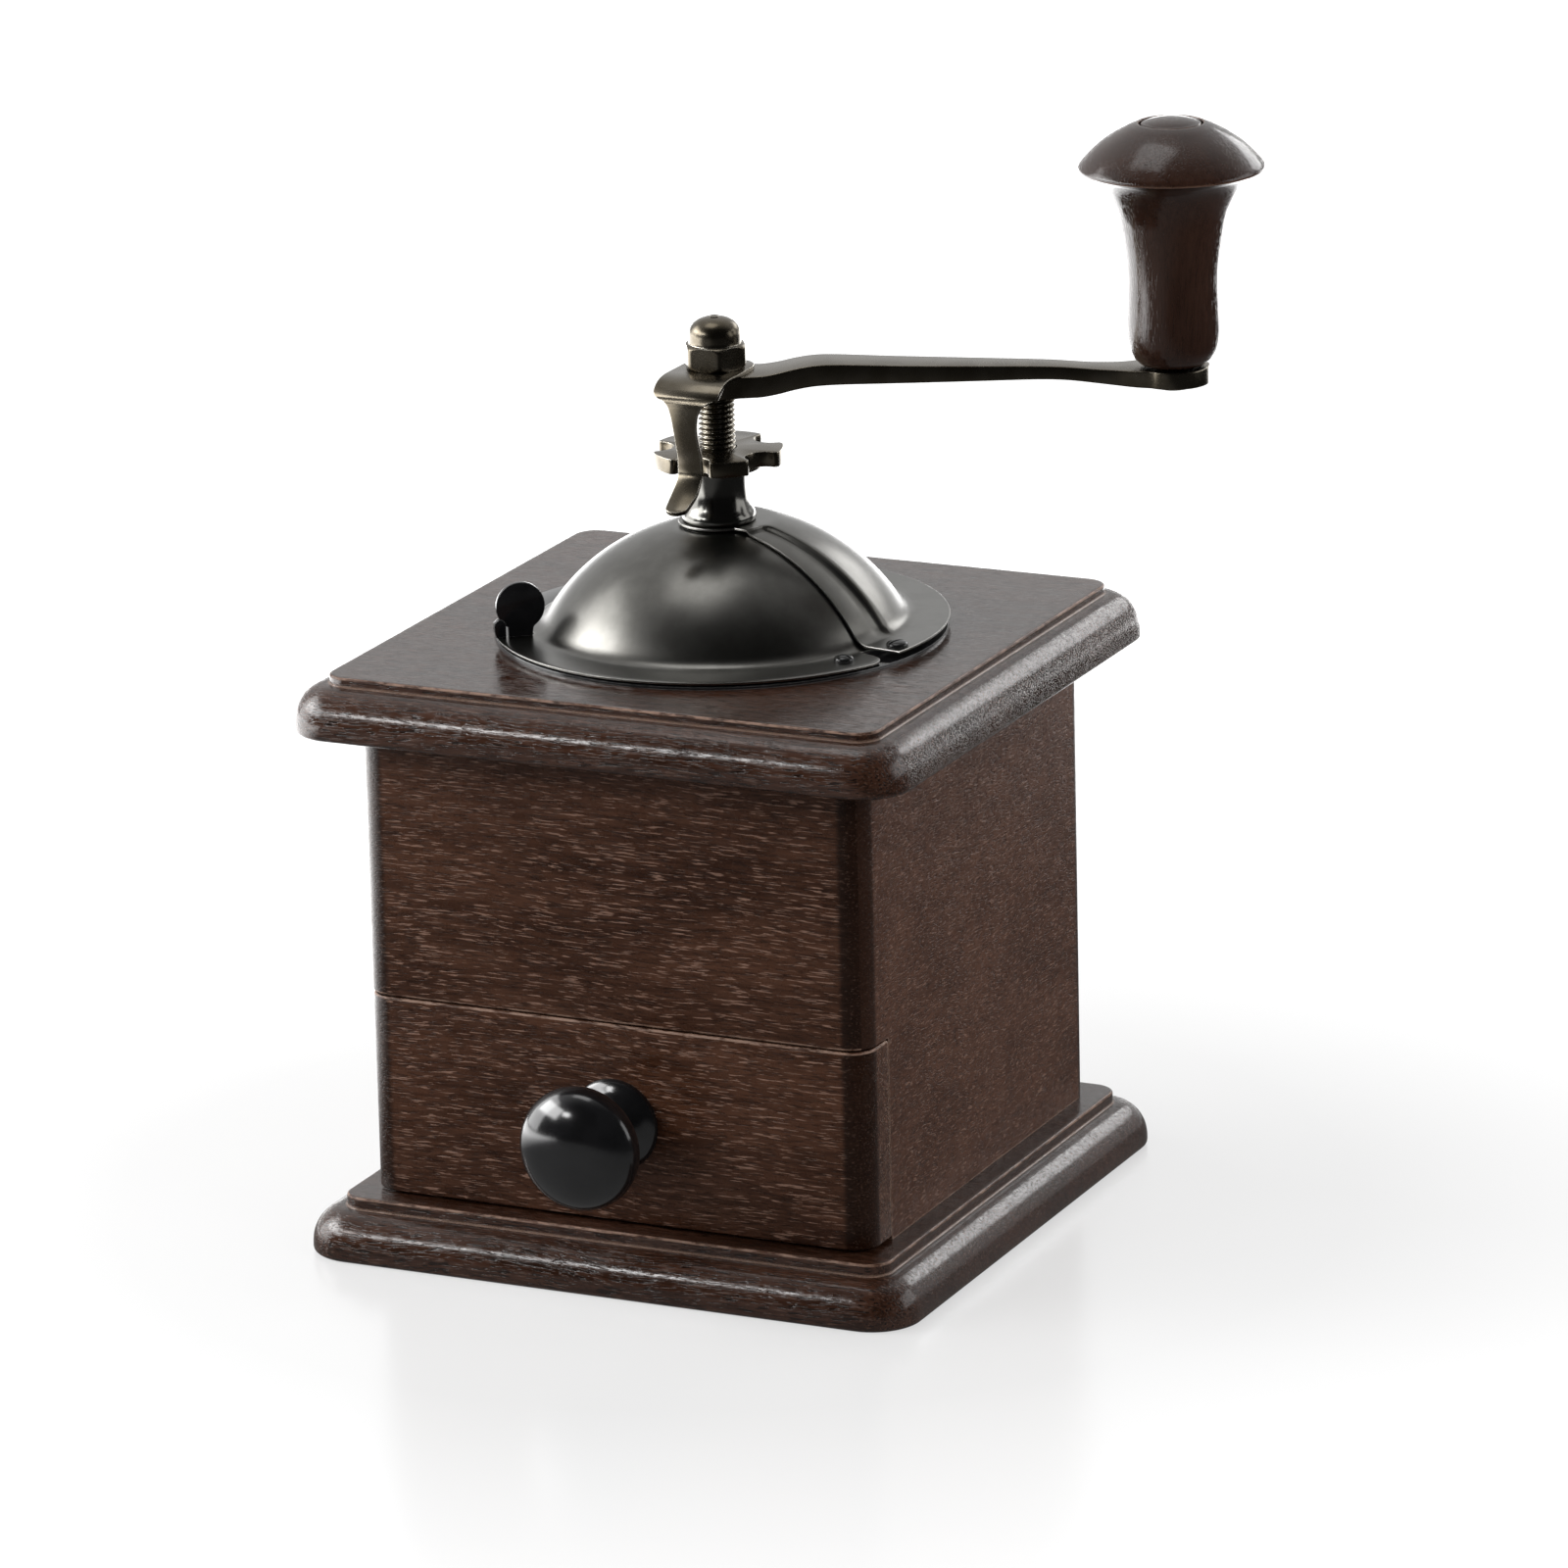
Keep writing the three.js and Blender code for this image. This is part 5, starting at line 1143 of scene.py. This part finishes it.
def plate_of(outline, thickness, soften=0.14):
    """An upright plate in the (x, z) plane, with softened edges."""
    bm = bmesh.new()
    ring = [bm.verts.new(Vector((x, -thickness / 2, z)) * MM) for x, z in outline]
    bm.faces.new(ring)
    made = bmesh.ops.extrude_face_region(bm, geom=list(bm.faces))
    far_side = [v for v in made["geom"] if isinstance(v, bmesh.types.BMVert)]
    bmesh.ops.translate(bm, verts=far_side, vec=(0, thickness * MM, 0))
    bmesh.ops.recalc_face_normals(bm, faces=bm.faces)
    rims = [e for e in bm.edges if e.calc_face_angle(0) > math.radians(50)
            and abs(e.verts[0].co.y - e.verts[1].co.y) < 1e-7]
    soften_edges(bm, rims, soften)
    return bm


TAB_TURN = math.radians(-143)
tab_turn = Matrix.Translation((0, 0, SHUTTER_TOP * MM)) @ Matrix.Rotation(TAB_TURN, 4, "Z")
piece("thumb_tab_disc", plate_of(tab_outline, 0.9), "shutter_half", black_steel,
      ["shutter_thumb_tab"], tab_turn)
ear = [(41.7, 0.0), (43.6, 0.0), (44.0, 1.6), (43.9, 2.9), (43.2, 3.6), (42.3, 3.6), (41.7, 2.8)]
piece("thumb_tab_ear", plate_of(ear, 1.2), "shutter_half", black_steel, (), tab_turn)


# %% [markdown]
# ## Hub, washer and star nut
#
# The hub is a trumpet-shaped bearing for the spindle. On it lies a thin washer, and on that the star nut,
# with five notches for the lock leaf. The notched outline is made of true arcs: the notch, a small round
# where it meets the rim, and the rim.

# %% Hub
HUB_TOP = level("hub", 1)
BORE = 4.3
hub_line = raised([(BORE, -2.6), (5.4, -2.6), (6.6, -0.9), (6.6, -SHEET), (5.4, -SHEET), (5.4, 0)], CROWN_Z)
hub_line += rounded(raised([(5.4, 0), (7.0, 0, 0.45), (7.05, 1.0, 0.45), (6.8, 1.7)], CROWN_Z))[1:]
trumpet = raised([(6.8, 1.7), (6.1, 3.0), (5.6, 4.6), (5.35, 6.4), (5.3, 8.2)], CROWN_Z)
hub_line += curve([*trumpet, (5.35, HUB_TOP - 0.9), (5.5, HUB_TOP - 0.3)], 5)[1:]
hub_line += [(5.4, HUB_TOP), (BORE, HUB_TOP)]
piece("hub_turning", turned(hub_line, closed=True), "case", hub_steel, ["hub"])
STAR_Z0, STAR_Z1 = level("star_nut", 0), level("star_nut", 1)
WASHER_IN, WASHER_R = 3.85, 8.3
washer_line = rounded([(WASHER_IN, HUB_TOP + 0.4), (WASHER_IN, HUB_TOP), (WASHER_R, HUB_TOP, 0.2),
                       (WASHER_R, STAR_Z0, 0.2), (WASHER_IN, STAR_Z0), (WASHER_IN, HUB_TOP + 0.4)])
piece("washer_disc", turned(washer_line[:-1], closed=True), "washer", crank_steel,
      ["thrust_washer"])

# %% Star nut
STAR_R = 12.5
NOTCH_R = 3.5
NOTCH_AT = 11.9
LOBE_ROUND = 0.9
STAR_BORE = 3.8
STAR_EDGE = [(0, 0.25), (0.07, 0.07), (0.25, 0.0)]      # depth from the face, and inset of the outline


def star_ring(z, inset=0.0):
    """Outline of the star nut, moved in by the inset."""
    f = LOBE_ROUND
    far = STAR_R - f
    swing = math.acos((far ** 2 + NOTCH_AT ** 2 - (NOTCH_R + f) ** 2) / (2 * far * NOTCH_AT))
    centre = Vector((far * math.cos(swing), far * math.sin(swing)))
    to_notch = Vector((NOTCH_AT, 0)) - centre
    notch_angle = math.atan2(-to_notch.y, -to_notch.x)
    ring = []
    for k in range(5):
        base = math.radians(-90 + 72 * k)
        one = []
        for i in range(13):
            a = 2 * math.pi - notch_angle + (2 * notch_angle - 2 * math.pi) * i / 12
            one.append(Vector((NOTCH_AT, 0)) + unit(a) * (NOTCH_R + inset))
        a0, a1 = notch_angle - math.pi, swing
        for i in range(1, 8):
            a = a0 + (a1 - a0) * i / 7
            one.append(centre + unit(a) * (f - inset))
        for i in range(1, 8):
            a = swing + 2 * (math.pi / 5 - swing) * i / 7
            one.append(unit(a) * (STAR_R - inset))
        back = 2 * math.pi / 5 - swing
        other = Vector((far * math.cos(back), far * math.sin(back)))
        for i in range(1, 7):
            a = 2 * math.pi / 5 - a1 + (a1 - a0) * i / 7
            one.append(other + unit(a) * (f - inset))
        c, n = math.cos(base), math.sin(base)
        ring += [(p.x * c - p.y * n, p.x * n + p.y * c, z) for p in one]
    return ring


star = [(STAR_Z0 + depth, inset) for depth, inset in STAR_EDGE]
star += [(STAR_Z1 - depth, inset) for depth, inset in reversed(STAR_EDGE)]
star_rings = [star_ring(z, inset) for z, inset in star]
piece("star_nut_forging", bored(star_rings, STAR_BORE), "nut", crank_steel, ["star_nut"])


# %% [markdown]
# ## Spindle
#
# The thread between the star nut and the arm shows against the white. A real helix costs little: the
# radius of each point of a fine cylinder rises and falls with its height and its angle together.

# %% Spindle
ARM_Z0 = level("crank_arm", 0)
THREAD_R = 3.5
THREAD_DEPTH = 0.62
PITCH = 1.0
NECK_TOP, SEAT_TOP = 72.2, 77.5          # where the burr nut's thread and the burr's seat end
COLLAR_LOW, COLLAR_TOP = 97.8, 99.4      # the collar that the spring presses on


def thread(z0, z1, sides=40, per_turn=10):
    """Rings whose radius follows a screw thread."""
    rings = []
    count = int((z1 - z0) / PITCH * per_turn)
    for k in range(count + 1):
        z = z0 + (z1 - z0) * k / count
        ring = []
        for i in range(sides):
            phase = (z / PITCH - i / sides) % 1.0
            depth = THREAD_DEPTH * min(1.0, max(0.0, abs(phase - 0.5) * 2.6 - 0.15))
            ring.append(polar(THREAD_R - depth, 2 * math.pi * i / sides, z))
        rings.append(ring)
    return rings


spindle_low, spindle_top = level("spindle", 0), level("spindle", 1)
lower = [(0.01, spindle_low), (2.5, spindle_low), (3.0, spindle_low + 0.5), (3.0, NECK_TOP), (3.6, NECK_TOP),
         (3.6, SEAT_TOP), (4.0, SEAT_TOP), (4.0, COLLAR_LOW), (7.8, COLLAR_LOW), (8.0, COLLAR_LOW + 0.2),
         (8.0, COLLAR_TOP - 0.2), (7.8, COLLAR_TOP), (4.0, COLLAR_TOP), (4.0, HUB_TOP - 1.0),
         (3.4, HUB_TOP - 0.5)]
upper = [(2.9, ARM_Z0 + 0.05), (2.4, ARM_Z0 + 0.1), (2.4, spindle_top), (0.01, spindle_top)]
rings = [circle_ring(r, z) for r, z in lower] + thread(HUB_TOP - 0.4, ARM_Z0)
rings += [circle_ring(r, z) for r, z in upper]
piece("threaded_spindle", loft(rings), "crank", crank_steel, ["spindle"])


# %% [markdown]
# ## Crank arm
#
# The arm is a forged flat bar: thick and wide at the hub, rising a little, then level, then down to a round
# boss under the grip. It is a stack of rounded rectangles along its length, closed in finely at both round
# ends.

# %% Arm
ARM_L = 86.3
ARM_TURN = 24.0
ROOT_R, TIP_R = 7.0, 6.8
ROOT_END, TIP_START = 4.5, 82.0      # between these the sides follow the table of half widths


def along(table, s):
    """Value from a table of (place, value), in a straight line between its rows."""
    for (s0, v0), (s1, v1) in zip(table, table[1:]):
        if s <= s1:
            t = min(max((s - s0) / (s1 - s0), 0), 1)
            return v0 + (v1 - v0) * t
    return table[-1][1]


# Each row is a place along the arm, and there the height of its underside, its half width or its thickness.
ARM_LOW = curve([(-9, 0), (6, 0), (9, 0.08), (12, 0.55), (15, 1.25), (18.5, 1.8), (23, 2.0), (30, 2.0),
                 (50, 2.0), (60, 2.0), (66, 1.75), (73, 0.95), (78, 0.5), (83, 0.4), (94, 0.4)], 4)
ARM_HALF = curve([(4.5, 5.6), (10, 5.05), (16, 4.7), (28, 4.2), (40, 3.9), (52, 3.4), (62, 3.0), (69, 2.95),
                  (75, 3.5), (79, 4.5), (82.5, 5.4)], 4)
ARM_THICK = curve([(-9, 4.1), (16, 4.1), (24, 3.9), (36, 3.4), (50, 2.95), (62, 2.6), (69, 2.6), (76, 3.0),
                   (82, 3.3), (94, 3.3)], 4)


def arm_width(s):
    if s < ROOT_END:
        return math.sqrt(max(ROOT_R ** 2 - s ** 2, 0))
    if s > TIP_START:
        return math.sqrt(max(TIP_R ** 2 - (s - ARM_L) ** 2, 0))
    return along(ARM_HALF, s)


def slab_ring(place, half, low, high, soften):
    """A rounded rectangle across the arm at one place along it."""
    e = min(soften, half * 0.9, (high - low) * 0.45)
    ring = []
    for sy, sz, a0 in QUARTERS:
        middle = high - e if sz > 0 else low + e
        ring += [(place, y, z) for y, z in arc(sy * (half - e), middle, e, e, a0, a0 + 90, 4)]
    return ring


places = [-ROOT_R * cosd(4 * i) for i in range(23)] + [0.6 + 3.9 * i / 4 for i in range(4)]
places += [ROOT_END + (TIP_START - ROOT_END) * i / 90 for i in range(91)]
places += [ARM_L + TIP_R * sind(-36 + 4.2 * i) for i in range(1, 31)]
places = sorted(p for p in set(places) if -ROOT_R < p < ARM_L + TIP_R - 0.001)
arm_rings = []
for s in places:
    low = ARM_Z0 + along(ARM_LOW, s)
    arm_rings.append(slab_ring(s, max(arm_width(s), 0.15), low, low + along(ARM_THICK, s), 0.3))
arm_turn = Matrix.Rotation(math.radians(ARM_TURN), 4, "Z")
piece("arm_forging", loft(arm_rings), "crank", crank_steel, ["crank_arm"], arm_turn)


# %% [markdown]
# ## Lock leaf
#
# A strip of spring steel is clamped under the cap nut, bends down over the edge of the arm and snaps into a
# notch of the star nut. Its upper end is wide, then it narrows to a waist, widens a little and curls out
# at the tail. One strip crosses the joint where it flexes, and here it is attached to neither body.

# %% Leaf
LEAF_T = 0.9
LEAF_TOP = level("cap_nut", 0)
leaf_mid = LEAF_TOP - LEAF_T / 2
CLEAR = STAR_R + 0.3 + LEAF_T / 2
# Each station holds the distance from the axis, the height, the width and how far the strip leans sideways.
# The first heights are drops from the clamped end. The last distances start where it clears the star nut.
leaf_stations = [(s, leaf_mid - drop, width, lean) for s, drop, width, lean in (
    (-6.6, 0, 6.0, 0), (-6.0, 0, 9.2, 0), (-4.6, 0, 11.8, 0), (-2, 0, 13.2, 0), (4, 0, 13.5, 0),
    (8, 0, 13.5, 0), (10.6, 0.45, 13.6, 0), (12.2, 1.3, 13.6, 0), (13.1, 2.1, 13.4, 0),
    (13.55, 2.65, 12.6, 0),
    (13.8, 3.05, 10.8, 0), (13.95, 3.4, 8.9, 0.1), (14.1, 3.85, 7.5, 0.1), (14.25, 4.5, 6.5, 0.1),
    (14.35, 5.6, 5.6, 0.1), (14.35, 7.2, 5.0, 0.15), (14.1, 9.2, 4.7, 0.2), (13.7, 11.6, 4.7, 0.4),
    (CLEAR + 0.1, 13.6, 4.8, 0.6),
)]
leaf_stations += [(CLEAR + out, z, width, lean) for out, z, width, lean in (
    (0, STAR_Z1, 4.9, 0.65), (0, STAR_Z0 + 1, 4.9, 0.65), (0.8, STAR_Z0 - 0.6, 4.9, 0.6),
    (2.4, STAR_Z0 - 2.4, 5.1, 0.5), (4.4, STAR_Z0 - 4.0, 4.7, 0.25), (5.8, STAR_Z0 - 4.9, 4.1, 0.1),
    (6.4, STAR_Z0 - 5.2, 2.4, 0), (6.6, STAR_Z0 - 5.3, 1.0, 0),
)]
smooth = curve(leaf_stations, 5)
leaf_rings = []
for k, (s, z, w, lean) in enumerate(smooth):
    p, q = smooth[max(k - 1, 0)], smooth[min(k + 1, len(smooth) - 1)]
    way = Vector((q[0] - p[0], q[1] - p[1])).normalized()
    n = Vector((-way.y, way.x))
    ring = []
    e = min(0.16, w * 0.2)
    for sy, sn, a0 in QUARTERS:
        for y, h in arc(sy * (w / 2 - e), sn * (LEAF_T / 2 - e), e, e, a0, a0 + 90, 2):
            ring.append((s + n.x * h, y + lean, z + n.y * h))
    leaf_rings.append(ring)
leaf = piece("lock_leaf_strip", loft(leaf_rings), None, crank_steel, (),
             Matrix.Rotation(math.radians(-90), 4, "Z"))
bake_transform(leaf)
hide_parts("lock_leaf", "leaf_tail")

# %% Cap nut
NUT_FLATS = 11.0
NUT_TURN = 2.0
HEX_CORNER = 6.18         # radius to which the corners are turned down
DOME_R, DOME_FROM, DOME_H = 5.0, 6.1, 3.65
DOME_POWER = 0.9          # less than 1 makes the cap fuller than an ellipse
NUT_SIDES = 120


def hexagon_ring(limit, z):
    """A hexagon whose corners are cut off by a cone, as on every real nut."""
    ring = []
    for i in range(NUT_SIDES):
        a = 2 * math.pi * i / NUT_SIDES
        toward = (math.degrees(a) - NUT_TURN - 30) % 60
        flat = NUT_FLATS / 2 / cosd(min(toward, 60 - toward))
        ring.append(polar(min(flat, HEX_CORNER, limit), a, z))
    return ring


hex_limits = [(5.45, 0.0), (5.6, 0.12), (5.75, 0.24), (5.9, 0.38), (6.05, 0.54), (6.2, 0.72), (6.4, 0.95),
              (6.4, 3.7), (6.2, 3.98), (6.05, 4.16), (5.9, 4.31), (5.75, 4.44), (5.6, 4.55), (5.4, 4.66),
              (5.2, 4.7)]
rings = [hexagon_ring(limit, LEAF_TOP + z) for limit, z in hex_limits]
dome_line = [(5.05, 4.7), (DOME_R, 4.8), (DOME_R, 5.5), (DOME_R, DOME_FROM)]
for a in range(6, 85, 6):
    dome_line.append((DOME_R * cosd(a) ** DOME_POWER, DOME_FROM + DOME_H * sind(a) ** DOME_POWER))
dome_line += [(0.95, 9.86), (0.6, 9.96), (0.01, 9.98)]
rings += [circle_ring(r, LEAF_TOP + z, NUT_SIDES) for r, z in dome_line]
piece("cap_nut_turning", loft(rings), "crank", crank_steel, ["cap_nut"])


# %% [markdown]
# ## Grip
#
# A turned handle of lacquered wood, flared to a mushroom top with a crisp rim, and closed by a small
# crowned plug. It spins on a pin that stands in the arm's boss.

# %% Grip and plug
gx, gy = ARM_L * cosd(ARM_TURN), ARM_L * sind(ARM_TURN)
G0, G1 = level("grip", 0), level("grip", 1)
outer = [(3.0, G0), (5.2, G0)] + rounded(raised([(5.2, 0), (6.3, 0.2, 0.6), (7.5, 1.4)], G0))[1:]
outer += curve(raised([
    (7.5, 1.4), (8.5, 3.4), (8.95, 6.5), (8.85, 11), (8.72, 16), (8.95, 20), (9.5, 24), (10.4, 28.6),
    (11.8, 32), (13.5, 34.8), (15.6, 36.8), (17.3, 37.6),
], G0), 5)[1:]
outer += rounded(raised([(17.3, 37.6), (17.75, 37.8, 0.2), (17.75, 38.3, 0.3), (17.4, 38.85)], G0))[1:]
cap = raised([(17.4, 38.85), (15.9, 40.5), (13.8, 42.4), (11.2, 44.2), (8.4, 45.7)], G0)
outer += curve([*cap, (6.9, G1 - 0.12)], 5)[1:]
outer += rounded(raised([(6.9, -0.12), (6.1, 0.1, 0.5), (6.05, -0.9), (6.05, -13), (3.0, -13)], G1))[1:]
piece("grip_turning", turned(outer, 120, gx, gy, closed=True), "handle", grip_wood, ["grip"])
plug_line = [(0, G1 - 5), (5.75, G1 - 5), (5.75, G1 - 0.45)] + arc(5.3, G1 - 0.45, 0.45, 0.45, 0, 80, 4)
plug_line += curve([(5.3, G1), (4.0, G1 + 0.45), (2.2, G1 + 0.8), (0, G1 + 0.95)], 4)
piece("plug_turning", turned(plug_line, 96, gx, gy), "handle", grip_wood, ["grip_plug"])


# %% [markdown]
# ## Pieces that stay as packed
#
# The burrs, the hopper, the drawer box and the inner screws have the right shape already. They keep their
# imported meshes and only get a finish.

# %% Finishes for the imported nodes
finish_of = {
    "case_wood": case_wood, "drawer_wood": drawer_wood, "grip_wood": grip_wood,
    "dome_steel": dome_steel, "crank_steel": crank_steel, "black_steel": black_steel,
    "plain_steel": plain_steel, "burr_iron": burr_iron, "bush_brass": bush_brass,
}
slot_of = {s["node"]: s["material_slot"] for s in frame["record"]["subparts"]}
for name, node in frame["nodes"].items():
    for slot in node.material_slots:
        slot.material = finish_of[slot_of[name]]
print(len(frame["nodes"]), "packed nodes have a finish")

# %% The end
bpy.context.view_layer.update()
